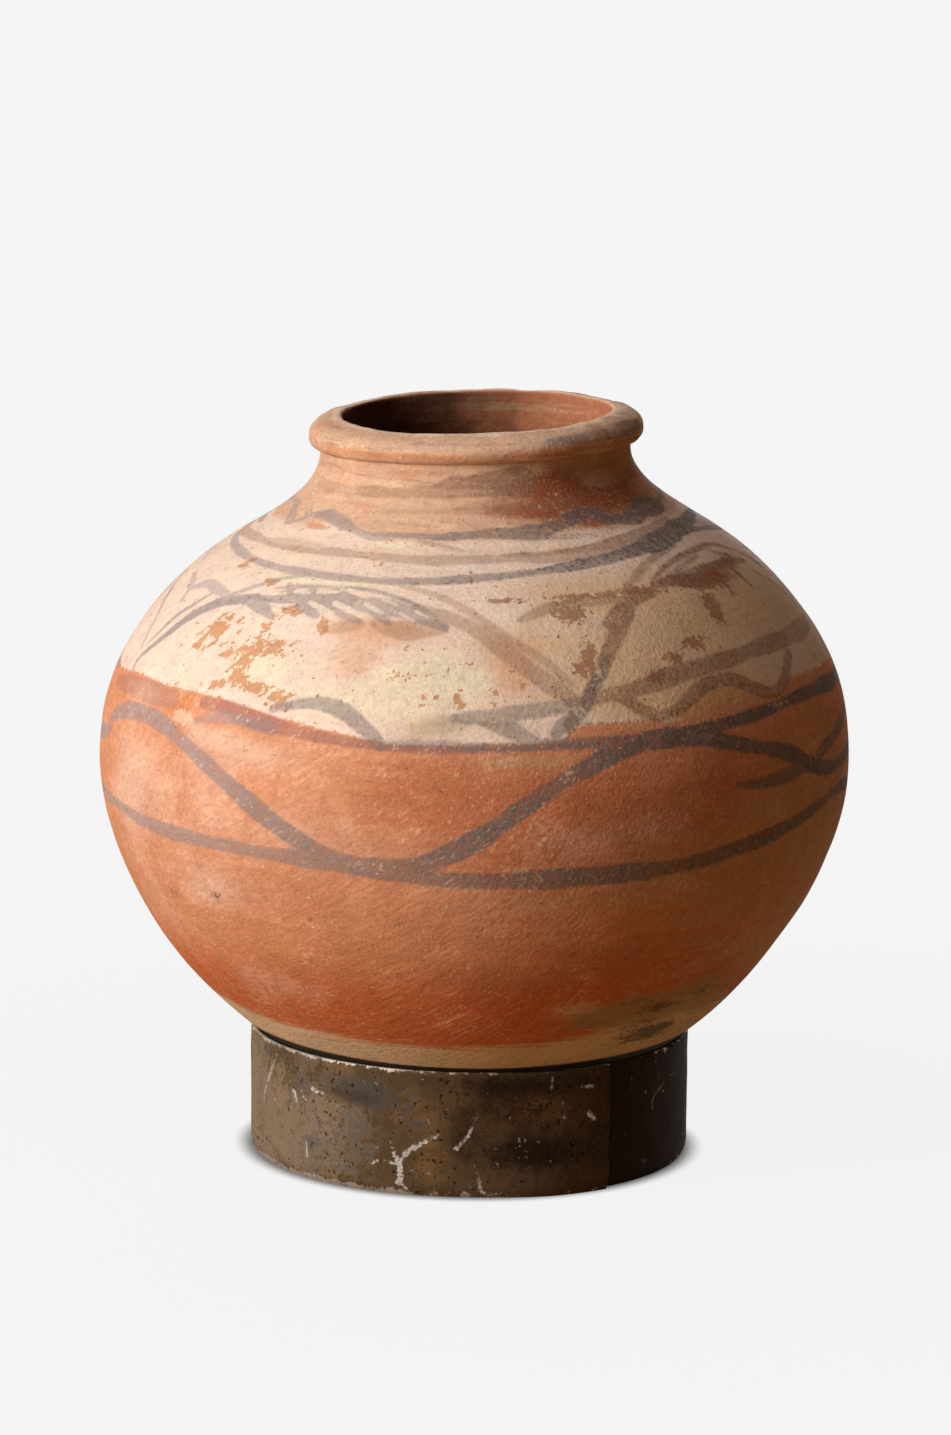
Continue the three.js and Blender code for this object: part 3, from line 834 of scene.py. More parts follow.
def add_node(tree: bpy.types.NodeTree, kind: str, settings: dict, inputs: dict, output: str = "") -> Socket:
    """Adds a node to a tree.

    Args:
        tree: the material's or the world's node tree.
        kind: the node's type.
        settings: the node's own options.
        inputs: values or sockets to link, by the input's name or its place among the inputs in use.
        output: name of the output wanted, or nothing for the first one in use.

    Returns:
        The output socket.
    """
    node = tree.nodes.new(kind)
    for name, value in settings.items():
        setattr(node, name, value)
    in_use = [socket for socket in node.inputs if socket.enabled]
    for key, value in inputs.items():
        socket = in_use[key] if isinstance(key, int) else node.inputs[key]
        if isinstance(value, Socket):
            tree.links.new(value, socket)
        else:
            socket.default_value = value
    if output:
        return node.outputs[output]
    return next((socket for socket in node.outputs if socket.enabled), None)


def smooth_share(value: np.ndarray, low: float | np.ndarray, high: float | np.ndarray) -> np.ndarray:
    """Rises smoothly from 0 at low to 1 at high."""
    share = np.clip((value - low) / (high - low), 0, 1)
    return share * share * (3 - 2 * share)


def bezier(corners: tuple, share: np.ndarray) -> np.ndarray:
    """Points along a Bezier curve.

    Args:
        corners: the curve's two to four control points.
        share: how far along the curve each point lies, from 0 to 1.

    Returns:
        One point for each share.
    """
    share = np.asarray(share, float)[..., None]
    layers = [np.asarray(corner, float) for corner in corners]
    while len(layers) > 1:
        layers = [(1 - share) * a + share * b for a, b in zip(layers, layers[1:])]
    return layers[0]


def through_points(points: np.ndarray, closed: bool, steps: int) -> np.ndarray:
    """A smooth curve through given points.

    Args:
        points: places that the curve passes through, in order; a closed one repeats its first at the end.
        closed: whether the curve's two ends meet smoothly.
        steps: samples between one place and the next.

    Returns:
        Samples along the curve.
    """
    if closed:
        turn = points[-1] - points[0]
        before, after = points[-2] - turn, points[1] + turn
    else:
        before, after = 2 * points[0] - points[1], 2 * points[-1] - points[-2]
    held = np.vstack([before, points, after])
    share = np.linspace(0, 1, steps, endpoint=False)[:, None]
    stretches = []
    for a, b, c, d in zip(held, held[1:], held[2:], held[3:]):
        bend = (2 * a - 5 * b + 4 * c - d) * share**2 + (3 * b - a - 3 * c + d) * share**3
        stretches.append(b + 0.5 * ((c - a) * share + bend))
    return np.vstack([*stretches, points[-1:]])


def all_round(points: Points) -> np.ndarray:
    """Repeats a line's points on each painted side, so that it runs once round and meets itself.

    Args:
        points: the line's (bearing, height) points on the front.

    Returns:
        Its points all the way round, with the first one repeated at the end.
    """
    sides = [np.array(points, float) + (side, 0) for side in PAINTED_SIDES]
    first = np.array(points[:1], float) + (FULL_TURN, 0)
    return np.vstack([*sides, first])


class Unevenness:
    """Seamless hand-made waviness: plane waves of one length in many directions."""

    WAVES = 24
    SPREAD = (0.7, 1.4)  # how far the waves' number to the millimetre varies about the middle one's

    def __init__(self, seed: int, wavelength: float) -> None:
        """Draws the waves.

        Args:
            seed: which set of waves.
            wavelength: their middle length, in millimetres.
        """
        draw = np.random.default_rng(seed)
        direction = draw.normal(size=(self.WAVES, 3))
        direction /= np.linalg.norm(direction, axis=1, keepdims=True)
        self.waves = direction * 2 * math.pi / wavelength * draw.uniform(*self.SPREAD, (self.WAVES, 1))
        self.phases = draw.uniform(0, 2 * math.pi, self.WAVES)

    def at(self, points: np.ndarray) -> np.ndarray:
        """Height of the waviness at each point, mostly between -1 and 1."""
        total = sum(np.sin(points @ wave + phase) for wave, phase in zip(self.waves, self.phases))
        return total / math.sqrt(self.WAVES)


def waviness(waves: Waves, points: np.ndarray) -> np.ndarray:
    """Adds up sets of waves, each given by its seed, its middle length and its height in millimetres."""
    return sum(height * Unevenness(seed, length).at(points) for seed, length, height in waves)


class PaintMap:
    """Where each vertex lies on a round wall, and what brushes and stains leave there."""

    REACH = 6.0  # how far past its edge a stroke is still measured
    CHUNK = 4000  # vertices measured at one go
    SAMPLE = 1.5  # spacing of the samples along a stroke
    LINE_STEPS = 12  # samples between two points of a line that runs all round
    SETTLE = 0.08  # how far the hand settles with each millimetre from a stroke's ends
    SWAYS = ((0.13, 13.0, 1.0), (0.07, 4.7, 2.3))  # share of the width, length and shift of the hand's sways
    THIN_END = 0.25  # share of the width that a stroke's ends lack
    EVEN_LOAD = 2.2  # weight of a stroke's own load against the hand's pressure

    def __init__(self, bearing: np.ndarray, along: np.ndarray, radius: np.ndarray) -> None:
        """Keeps the wall's coordinates.

        Args:
            bearing: each vertex's bearing, in degrees.
            along: its distance up the wall.
            radius: its distance from the axis.
        """
        self.bearing = np.radians(bearing)
        self.along = along
        self.radius = radius
        self.typical = float(np.median(radius))

    def round_gap(self, bearing: np.ndarray, other: float | np.ndarray) -> np.ndarray:
        """Angle from one bearing to another the shorter way, in radians."""
        return (bearing - other + math.pi) % (2 * math.pi) - math.pi

    def strokes(
        self, strokes: tuple[Stroke, ...], sides: tuple[float, ...], along_at: AlongAt
    ) -> tuple[np.ndarray, np.ndarray]:
        """Measures the strokes of one brush.

        Args:
            strokes: the strokes.
            sides: bearings that each stroke is repeated at.
            along_at: turns heights into distances up the wall.

        Returns:
            Each vertex's depth inside the nearest stroke's edge, below zero outside, and that stroke's load.
        """
        depth = np.full(self.along.shape, -self.REACH)
        load = np.zeros(self.along.shape)
        for number, stroke in enumerate(strokes):
            for side in sides[:1] if stroke.all_round else sides:
                self.lay(stroke, side, number, along_at, depth, load)
        return depth, load

    def route(self, stroke: Stroke, side: float) -> np.ndarray:
        """Samples a stroke's middle line.

        Args:
            stroke: the stroke.
            side: bearing that it is turned by.

        Returns:
            (bearing in degrees, height) samples along it.
        """
        if stroke.all_round:
            corners = all_round(stroke.points)
        else:
            corners = np.array(stroke.points, float) + (side, 0)
        spans = np.hypot(np.radians(np.diff(corners[:, 0])) * self.typical, np.diff(corners[:, 1]))
        steps = max(2, math.ceil(spans.max() / self.SAMPLE))
        return through_points(corners, stroke.all_round, steps)

    def pressure(self, stroke: Stroke, number: int, bearing: np.ndarray, along: np.ndarray) -> np.ndarray:
        """Works out how the hand presses along a stroke.

        Args:
            stroke: the stroke.
            number: its place in the list, which shifts the sways of the hand.
            bearing: bearings of its samples, in radians.
            along: their distances up the wall.

        Returns:
            The pressure at each sample, about 1.
        """
        steps = np.hypot(np.diff(bearing) * self.typical, np.diff(along))
        gone = np.concatenate([[0], np.cumsum(steps)])
        settled = np.minimum(1, self.SETTLE * np.minimum(gone, gone[-1] - gone))
        sway = sum(share * np.sin(gone / length + shift * number) for share, length, shift in self.SWAYS)
        press = 1 + settled * sway
        return press if stroke.all_round else press - self.THIN_END * (1 - settled)

    def within(self, stroke: Stroke, bearing: np.ndarray, along: np.ndarray, reach: float) -> np.ndarray:
        """Finds the vertices that a stroke may reach.

        Args:
            stroke: the stroke.
            bearing: bearings of its samples, in radians.
            along: their distances up the wall.
            reach: how far from its middle line it is measured.

        Returns:
            The vertices' numbers.
        """
        near = (self.along > along.min() - reach) & (self.along < along.max() + reach)
        if not stroke.all_round:
            middle = (bearing.min() + bearing.max()) / 2
            wide = (bearing.max() - bearing.min()) / 2 + reach / np.maximum(self.radius, reach)
            near &= np.abs(self.round_gap(self.bearing, middle)) < wide
        return np.flatnonzero(near)

    def lay(
        self, stroke: Stroke, side: float, number: int, along_at: AlongAt, depth: np.ndarray, load: np.ndarray
    ) -> None:
        """Lays one stroke into the measures.

        Args:
            stroke: the stroke.
            side: bearing that it is turned by.
            number: its place in the list, which varies the pressure of the hand.
            along_at: turns heights into distances up the wall.
            depth: depth inside the strokes so far, changed in place.
            load: load of the strokes so far, changed in place.
        """
        line = self.route(stroke, side)
        bearing, along = np.radians(line[:, 0]), along_at(line[:, 1])
        press = self.pressure(stroke, number, bearing, along)
        share = np.linspace(0, 1, len(line))
        if stroke.all_round:
            share = 0.5 - 0.5 * np.cos(4 * math.pi * share)
        first_width, last_width = stroke.width
        half = 0.5 * press * (first_width + (last_width - first_width) * share)
        found = self.within(stroke, bearing, along, half.max() + self.REACH)
        for first in range(0, len(found), self.CHUNK):
            some = found[first:first + self.CHUNK]
            aside = self.round_gap(self.bearing[some, None], bearing) * self.radius[some, None]
            depths = half - np.hypot(aside, self.along[some, None] - along)
            nearest = depths.argmax(axis=1)
            inside = depths[np.arange(len(some)), nearest]
            deeper = inside > depth[some]
            depth[some[deeper]] = inside[deeper]
            pressed = self.EVEN_LOAD + press[nearest[deeper]]
            load[some[deeper]] = stroke.load * pressed / (self.EVEN_LOAD + 1)

    def patches(self, patches: tuple[Patch, ...], sides: tuple[float, ...], along_at: AlongAt) -> np.ndarray:
        """Adds up soft patches.

        Args:
            patches: the patches of one stain.
            sides: bearings that each patch is repeated at.
            along_at: turns heights into distances up the wall.

        Returns:
            The stain's strength at each vertex.
        """
        total = np.zeros(self.along.shape)
        for patch in patches:
            middle = float(along_at(np.array([patch.height]))[0])
            rise = (self.along - middle) / patch.half_height
            for side in sides:
                aside = self.round_gap(self.bearing, math.radians(patch.bearing + side)) * self.radius
                total += patch.strength * np.exp(-((aside / patch.half_width) ** 2) - rise**2)
        return total

    def above(self, line: Points, along_at: AlongAt) -> np.ndarray:
        """Measures each vertex from a line that runs all round.

        Args:
            line: the line's (bearing, height) points on the front.
            along_at: turns heights into distances up the wall.

        Returns:
            Millimetres above the line.
        """
        curve = through_points(all_round(line), True, self.LINE_STEPS)
        turned = np.degrees(self.bearing) % FULL_TURN
        height = np.interp(turned, curve[:, 0], curve[:, 1], period=FULL_TURN)
        return self.along - along_at(height)


@dataclass(frozen=True)
class UrnOutline:
    """Outline of the urn's wall, with heights measured from the lowest point of its round base."""

    belly_radius: float = 186.5
    belly_height: float = 179.0
    neck_radius: float = 76.6
    neck_height: float = 332.9
    base_curve_width: float = 91.0
    underbelly_curve_height: float = 88.5
    shoulder_curve_height: float = 104.0
    neck_curve_height: float = 43.0
    neck_flare_width: float = 3.3
    wall: float = 9.0
    rim_height: float = 15.3
    roll_radius: float = 82.3  # the rim's widest point
    roll_height: float = 7.4  # and how far that is above the groove
    crown_width: float = 9.5  # the crown rounds over from the lip
    crown_fall_height: float = 0.8
    crown_rise_height: float = 5.0
    lip_overhang_width: float = 0.8
    lip_radius: float = 1.6
    lip_lift: float = 0.2  # how far the lip swells above the crown's end
    groove_reach: float = 5.0  # how the roll swells out of the groove
    groove_rise: float = 0.6
    roll_bulge: float = 0.3  # how the roll swells below and above its widest point
    roll_drop: float = 4.0
    crown_bulge: float = 0.2

    PLACES = 4001  # samples of the outside that a height is looked up in

    def outer(self, place: np.ndarray) -> np.ndarray:
        """Follows the wall's outside.

        Args:
            place: places from 0 at the base, through 1 at the widest point, to 2 at the groove.

        Returns:
            (radius, height) of each place.
        """
        belly = (self.belly_radius, self.belly_height)
        groove = (self.neck_radius, self.neck_height)
        lower = (
            (0, 0),
            (self.base_curve_width, 0),
            (self.belly_radius, self.belly_height - self.underbelly_curve_height),
            belly,
        )
        upper = (
            belly,
            (self.belly_radius, self.belly_height + self.shoulder_curve_height),
            (self.neck_radius - self.neck_flare_width, self.neck_height - self.neck_curve_height),
            groove,
        )
        below = bezier(lower, np.clip(place, 0, 1))
        above = bezier(upper, np.clip(place - 1, 0, 1))
        return np.where((place <= 1)[:, None], below, above)

    def inner(self, place: np.ndarray) -> np.ndarray:
        """Follows the wall's inside.

        Args:
            place: places on the outside.

        Returns:
            (radius, height) of the inside, one wall's thickness in from each place.
        """
        nudge = 1e-4
        ahead = self.outer(np.clip(place + nudge, 0, 2)) - self.outer(np.clip(place - nudge, 0, 2))
        ahead /= np.linalg.norm(ahead, axis=1, keepdims=True)
        point = self.outer(place)
        radius = point[:, 0] - ahead[:, 1] * self.wall
        height = point[:, 1] + ahead[:, 0] * self.wall
        inside = np.stack([radius, height], axis=1)
        inside[place == 0, 0] = 0
        return inside

    def rim(self) -> np.ndarray:
        """Follows the rolled rim.

        Returns:
            Dense points from the groove over the crown and lip to the mouth's joint.
        """
        groove = np.array((self.neck_radius, self.neck_height))
        mouth = self.inner(np.array([2.0]))[0]
        top = self.neck_height + self.rim_height
        lip = mouth[0] - self.lip_overhang_width
        widest = self.neck_height + self.roll_height
        roll = (self.roll_radius, widest)
        below_roll = (self.roll_radius + self.roll_bulge, widest - self.roll_drop)
        above_roll = (self.roll_radius + self.crown_bulge, widest + self.crown_rise_height)
        brow = (lip + self.crown_width, top - self.crown_fall_height)
        crest = (lip + self.lip_radius, top)
        edge = (lip, top - self.lip_radius)
        # each stretch's control points and how many samples it gets
        stretches = (
            ((groove, groove + (self.groove_reach, self.groove_rise), below_roll, roll), 120),
            ((roll, above_roll, brow, crest), 200),
            ((crest, (lip, top + self.lip_lift), edge), 60),
            ((edge, mouth), 120),
        )
        first, *others = (bezier(corners, np.linspace(0, 1, samples)) for corners, samples in stretches)
        return np.vstack([first, *(stretch[1:] for stretch in others)])

    def place_at(self, height: float) -> float:
        """Place on the outside that lies at a height."""
        places = np.linspace(0, 2, self.PLACES)
        return float(np.interp(height, self.outer(places)[:, 1], places))


def evenly(points: np.ndarray, spacing: float) -> np.ndarray:
    """Thins a dense line to even spacing.

    Args:
        points: the dense line.
        spacing: the widest step wanted.

    Returns:
        Points at equal steps, with both ends kept.
    """
    length = np.concatenate([[0], np.cumsum(np.linalg.norm(np.diff(points, axis=0), axis=1))])
    count = max(1, math.ceil(length[-1] / spacing))
    wanted = np.linspace(0, length[-1], count + 1)
    return np.stack([np.interp(wanted, length, points[:, axis]) for axis in (0, 1)], axis=1)


def make_mesh(name: str, vertices: np.ndarray, rows: list[np.ndarray], closed: bool) -> bpy.types.Object:
    """Makes a mesh object from rows of vertices that run round an axis.

    Args:
        name: the piece's name.
        vertices: places in millimetres.
        rows: vertex numbers of each row, in the order of increasing bearing; a pole is one number repeated.
        closed: whether the last row joins the first.

    Returns:
        The new object, smooth-shaded.
    """
    pairs = list(zip(rows, rows[1:] + rows[:1])) if closed else list(zip(rows, rows[1:]))
    faces = []
    for low, high in pairs:
        corners = np.stack([low[:-1], low[1:], high[1:], high[:-1]], axis=1)
        for face in corners.tolist():
            unique = list(dict.fromkeys(face))
            if len(unique) > 2:
                faces.append(unique)
    mesh = bpy.data.meshes.new(name)
    mesh.from_pydata((vertices * MM).tolist(), [], faces)
    mesh.shade_smooth()
    piece = bpy.data.objects.new(name, mesh)
    bpy.context.scene.collection.objects.link(piece)
    return piece


def add_field(piece: bpy.types.Object, name: str, values: np.ndarray) -> None:
    """Stores one number for each vertex of a piece, for its material to read."""
    field = piece.data.attributes.new(name, "FLOAT", "POINT")
    field.data.foreach_set("value", np.ascontiguousarray(values, np.float32))


@dataclass
class PaintedUrn:
    """The urn: seven courses of clay that meet flush, on the joints that the frame has."""

    outline: UrnOutline = UrnOutline()
    front_step_deg: float = 0.36
    back_step_deg: float = 0.6
    front_half_deg: float = 96.0
    wall_spacing: float = 2.3
    painted_spacing: float = 1.15
    rim_spacing: float = 1.0
    inside_spacing: float = 6.0
    joint_rise: float = 7.0
    lean_height: float = 90.0
    mouth_tilt_deg: float = 2.3
    mouth_offset: float = 5.0
    mouth_nod_deg: float = 2.3  # the front of the mouth is a little lower than the back
    askew_deg: float = 1.2  # how far the whole urn leans in its ring
    askew_height: float = 157.0  # and the height that it leans about
    full_height: float = 277.0  # the shoulder is fuller here
    full_reach: float = 20.0
    full_swell: float = 2.3
    thick_bearing: float = 84.0  # the rim's coil is fattest here
    thick_reach_deg: float = 28.0
    thick_swell: float = 0.3
    coil_start: float = -4.0  # the coil's own unevenness begins here, from the groove
    coil_full: float = 6.0  # and is full here
    pale_bearing: float = -85.0  # the side where the dark paint is paler
    pale_share: float = 0.46
    chalk_share: float = 0.38  # how far chalk hides the paint there
    # the pale lip, partly wear and partly painted highlight, reaches this far from the crest
    lip_reach: float = 4.5
    # the inside of the mouth is painted darker towards this side, as shade
    inside_shade_bearing: float = -115.0
    inside_shade_range: tuple[float, float] = (0.5, 3.0)  # the painted shade sets in over this way past the crest
    neck_fade: float = 6.0  # the bare neck and the cream slip are full this far above their feet
    cream_fade: float = 4.0
    groove_shade: float = 0.42  # painted shade in the groove under the rim
    groove_shade_reach: float = 1.6
    seat_radius: float = 107.5
    seat_shade_start: tuple[float, float] = (-9.0, -3.0)  # painted shade round the seat, up the wall from it
    seat_shade_end: tuple[float, float] = (1.5, 5.0)
    seat_shade_sides: tuple[float, float] = (5.0, 11.0)  # and how much further it ends at the sides
    seated_height: float = 70.0  # the base stays true about here, where it sits in the ring
    seated_below: float = 20.0  # from this far below, the hand's unevenness sets in
    seated_above: float = 30.0  # and this far above, it is full
    bowl_joint: float = 56.0  # the joints between courses: above the base
    lower_joint_drop: float = 67.0  # below the widest point
    middle_joint_drop: float = 3.0
    upper_joint_rise: float = 55.0  # above the widest point
    shoulder_joint_drop: float = 40.9  # below the groove
    plain_courses: int = 2  # the lowest courses carry little paint, so their rows lie wider apart
    body: str = "urn"

    DENSE = 400  # samples of each course before its rows are spaced
    WALL_WAVES = ((3, 150.0, 0.5), (4, 55.0, 0.2), (5, 22.0, 0.07))  # seed, length and height of each set
    COIL_WAVES = ((6, 45.0, 0.35), (7, 14.0, 0.14))
    OFF_WALL = -1000.0  # place of the vertices that no brush reaches
    OUTSIDE = -20.0  # how far short of the crest the whole outside counts as lying
    POLE = 1e-6  # a smaller radius is a point on the axis

    def __post_init__(self) -> None:
        """Places the urn on the frame's base and lists its courses from the base up."""
        self.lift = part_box("base_bowl")[0].z / MM
        front = round(2 * self.front_half_deg / self.front_step_deg)
        back = round((FULL_TURN - 2 * self.front_half_deg) / self.back_step_deg)
        self.bearings = np.concatenate(
            [
                np.linspace(-self.front_half_deg, self.front_half_deg, front, endpoint=False),
                np.linspace(self.front_half_deg, FULL_TURN - self.front_half_deg, back, endpoint=False),
            ]
        )
        self.columns = len(self.bearings)
        belly, neck = self.outline.belly_height, self.outline.neck_height
        self.courses = (
            ("base_bowl", self.bowl_joint, "bare_clay"),
            ("lower_belly", belly - self.lower_joint_drop, "red_slip"),
            ("middle_belly", belly - self.middle_joint_drop, "red_slip"),
            ("upper_belly", belly + self.upper_joint_rise, "cream_slip"),
            ("shoulder", neck - self.shoulder_joint_drop, "cream_slip"),
            ("neck_collar", neck, "bare_clay"),
        )

    def set_out(self) -> None:
        """Lays out the rows of the whole wall: up the outside, over the rim and down the inside."""
        outline = self.outline
        joints = [outline.place_at(top) for _, top, _ in self.courses]
        inner_joints = [outline.place_at(top + self.joint_rise) for _, top, _ in self.courses[:-1]] + [2.0]
        rows = [outline.outer(np.zeros(1))]
        self.outer_ends = [0]
        for number, (low, high) in enumerate(zip([0.0, *joints], joints)):
            dense = outline.outer(np.linspace(low, high, self.DENSE))
            spacing = self.wall_spacing if number < self.plain_courses else self.painted_spacing
            rows.append(evenly(dense, spacing)[1:])
            self.outer_ends.append(self.outer_ends[-1] + len(rows[-1]))
        rows.append(evenly(outline.rim(), self.rim_spacing)[1:])
        self.inner_ends = [self.outer_ends[-1] + len(rows[-1])]
        downwards = [*inner_joints[::-1], 0.0]
        for high, low in zip(downwards, downwards[1:]):
            dense = outline.inner(np.linspace(high, low, self.DENSE))
            rows.append(evenly(dense, self.inside_spacing)[1:])
            self.inner_ends.append(self.inner_ends[-1] + len(rows[-1]))
        self.profile = np.vstack(rows)
        steps = np.linalg.norm(np.diff(self.profile, axis=0), axis=1)
        self.along = np.concatenate([[0], np.cumsum(steps)])

    def along_at(self, height: np.ndarray) -> np.ndarray:
        """Distance up the outside of the wall at heights above the floor."""
        outside = slice(0, self.outer_ends[-1] + 1 + int(self.outline.rim_height / self.rim_spacing))
        return np.interp(np.asarray(height) - self.lift, self.profile[outside, 1], self.along[outside])

    def shape(self) -> None:
        """Turns the profile about the axis, makes it uneven as a hand leaves it, and leans the mouth."""
        bearing = np.radians(self.bearings)
        radius, height = self.profile[:, :1], self.profile[:, 1:]
        free = smooth_share(
            height, self.seated_height - self.seated_below, self.seated_height + self.seated_above
        )
        swell = self.swell(bearing, radius, height) * free
        facing = self.facing()
        radius = radius + facing[:, :1] * swell
        height = height + facing[:, 1:] * swell
        self.grid = self.lean(radius * np.sin(bearing), -radius * np.cos(bearing), height, free)
        self.normals = self.outward()

    def facing(self) -> np.ndarray:
        """Works out which way each row of the profile faces.

        Returns:
            (radius, height) directions; the inside's are turned round, so that it follows the outside.
        """
        ahead = np.gradient(self.profile, axis=0)
        ahead /= np.linalg.norm(ahead, axis=1, keepdims=True)
        facing = np.stack([ahead[:, 1], -ahead[:, 0]], axis=1)
        facing[self.inner_ends[0]:] *= -1
        return facing

    def swell(self, bearing: np.ndarray, radius: np.ndarray, height: np.ndarray) -> np.ndarray:
        """Works out how far the hand-made wall stands proud of the true one.

        Args:
            bearing: bearings of the columns, in radians.
            radius: radius of each row.
            height: height of each row.

        Returns:
            Millimetres, by row and column.
        """
        true = np.stack([radius * np.sin(bearing), -radius * np.cos(bearing), height + 0 * bearing], axis=-1)
        swell = waviness(self.WALL_WAVES, true)
        neck = self.outline.neck_height
        coiled = smooth_share(height, neck + self.coil_start, neck + self.coil_full)
        swell += coiled * waviness(self.COIL_WAVES, true)
        aside = (self.bearings - self.thick_bearing + FULL_TURN / 2) % FULL_TURN - FULL_TURN / 2
        swell += coiled * self.thick_swell * np.exp(-((aside / self.thick_reach_deg) ** 2))
        swell += self.full_swell * np.exp(-(((height - self.full_height) / self.full_reach) ** 2))
        return swell

    def lean(self, across: np.ndarray, back: np.ndarray, height: np.ndarray, free: np.ndarray) -> np.ndarray:
        """Leans the mouth to one side and forwards, and the whole urn in its ring.

        Args:
            across: places from left to right.
            back: places from front to back.
            height: heights above the base.
            free: share of the lean that each row takes, none where the urn is seated.

        Returns:
            Places of all the vertices, by row and column.
        """
        neck = self.outline.neck_height
        share = smooth_share(height, neck - self.lean_height, neck)
        angles = (self.mouth_tilt_deg, self.mouth_nod_deg, self.askew_deg)
        tilt, nod, askew = (math.tan(math.radians(angle)) for angle in angles)
        lean = askew * (height - self.askew_height) * free
        nods = nod * smooth_share(height, neck, neck + self.outline.rim_height)
        return np.stack(
            [
                across - self.mouth_offset * share + lean,
                back,
                height + tilt * across * share + nods * back + self.lift,
            ],
            axis=-1,
        )

    def outward(self) -> np.ndarray:
        """Works out the normals of the whole wall, so that the courses meet with no seam in the shading.

        Returns:
            A direction for each vertex, by row and column.
        """
        up = np.gradient(self.grid, axis=0)
        across = np.roll(self.grid, -1, axis=1) - np.roll(self.grid, 1, axis=1)
        normals = np.cross(across, up)
        lengths = np.linalg.norm(normals, axis=2, keepdims=True)
        normals = normals / np.maximum(lengths, 1e-9)
        normals[0] = (0, 0, -1)
        normals[-1] = (0, 0, 1)
        return normals

    def paint(self) -> None:
        """Works out each vertex's strokes, slips, paler paint, stains, and painted highlight and shade."""
        rows = len(self.profile)
        along = np.repeat(self.along, self.columns)
        crest = int(np.argmax(self.profile[:, 1]))
        outside = np.repeat(np.arange(rows) <= crest, self.columns)
        chart = PaintMap(
            np.tile(self.bearings, rows),
            np.where(outside, along, self.OFF_WALL),
            np.repeat(np.maximum(self.profile[:, 0], 1.0), self.columns),
        )
        self.fields = {"inside": np.maximum(along - self.along[crest], self.OUTSIDE)}
        self.brush(chart)
        self.paling(chart)
        self.slip()
        self.stain(chart)
        # painted shade in the groove under the rim and round the seat in the ring
        self.fields["crevice"] = self.crevice(chart, along)

    def brush(self, chart: PaintMap) -> None:
        """Adds the brushed marks and the lines where one slip ends and the next begins.

        Args:
            chart: where each vertex lies.
        """
        for mark, strokes in (
            (Mark.INK, (*SHOULDER_INK, *COMB_INK, *BELLY_INK)),
            (Mark.WASH, BROWN_WASH),
            (Mark.MAROON, MAROON_LINE),
            (Mark.SLIT, COMB_SLITS),
            (Mark.SCRATCH, BELLY_SCRATCHES),
        ):
            depth, load = chart.strokes(strokes, PAINTED_SIDES, self.along_at)
            self.fields[mark.value] = depth
            self.fields[mark.value + "_load"] = load
        for name, line in (("cream_foot", CREAM_FOOT), ("neck_foot", NECK_FOOT), ("bare_base", BARE_BASE)):
            self.fields[name] = chart.above(line, self.along_at)

    def paling(self, chart: PaintMap) -> None:
        """Pales the dark paint on one side, pales the lip as wear and painted highlight, and paints shade in
        the inside.

        Args:
            chart: where each vertex lies.
        """
        fields = self.fields
        paling = 0.5 + 0.5 * np.cos(chart.bearing - math.radians(self.pale_bearing))
        fields[Mark.INK.value + "_load"] *= 1 - self.pale_share * paling
        fields["chalked"] = fields[Mark.INK.value]
        fields["chalked_load"] = self.chalk_share * paling**3
        # the pale lip: partly wear, partly painted highlight along the crest
        fields["lip"] = np.exp(-((fields["inside"] / self.lip_reach) ** 2))
        # the inside is painted darker towards the left-back, as shade
        shaded_side = 0.5 + 0.5 * np.cos(chart.bearing - math.radians(self.inside_shade_bearing))
        fields["smoked"] = shaded_side * smooth_share(fields["inside"], *self.inside_shade_range)

    def slip(self) -> None:
        """Adds how fully the neck is bare and the cream slip lies, and each vertex's height."""
        fields = self.fields
        fields["neck"] = smooth_share(fields["neck_foot"], 0.0, self.neck_fade)
        fields["cream"] = smooth_share(fields["cream_foot"], 0.0, self.cream_fade) * (1 - fields["neck"])
        fields["height"] = np.repeat(self.profile[:, 1] + self.lift, self.columns)

    def stain(self, chart: PaintMap) -> None:
        """Adds the stains, some of which lie on the cream slip alone.

        Args:
            chart: where each vertex lies.
        """
        for stain, patches in URN_STAINS.items():
            self.fields[stain.value] = chart.patches(patches, PAINTED_SIDES, self.along_at)
        for stain in (Stain.FLAKE, Stain.SCAB, Stain.BLOOM, Stain.PEACH, Stain.OLIVE):
            self.fields[stain.value] *= self.fields["cream"]

    def crevice(self, chart: PaintMap, along: np.ndarray) -> np.ndarray:
        """Paints shade in the groove under the rim and round the seat in the ring.

        Args:
            chart: where each vertex lies.
            along: distance of each vertex up the wall.

        Returns:
            The painted shade's strength at each vertex.
        """
        groove = self.along[self.outer_ends[-1]]
        below = slice(0, self.outer_ends[2])
        seat = float(np.interp(self.seat_radius, self.profile[below, 0], self.along[below]))
        side = np.sin(chart.bearing) ** 2
        start, end = (seat + way for way in self.seat_shade_start)
        thin, gone = (
            seat + way + further * side for way, further in zip(self.seat_shade_end, self.seat_shade_sides)
        )
        return np.maximum(
            self.groove_shade * np.exp(-(((along - groove) / self.groove_shade_reach) ** 2)),
            smooth_share(along, start, end) * (1 - smooth_share(along, thin, gone)),
        )

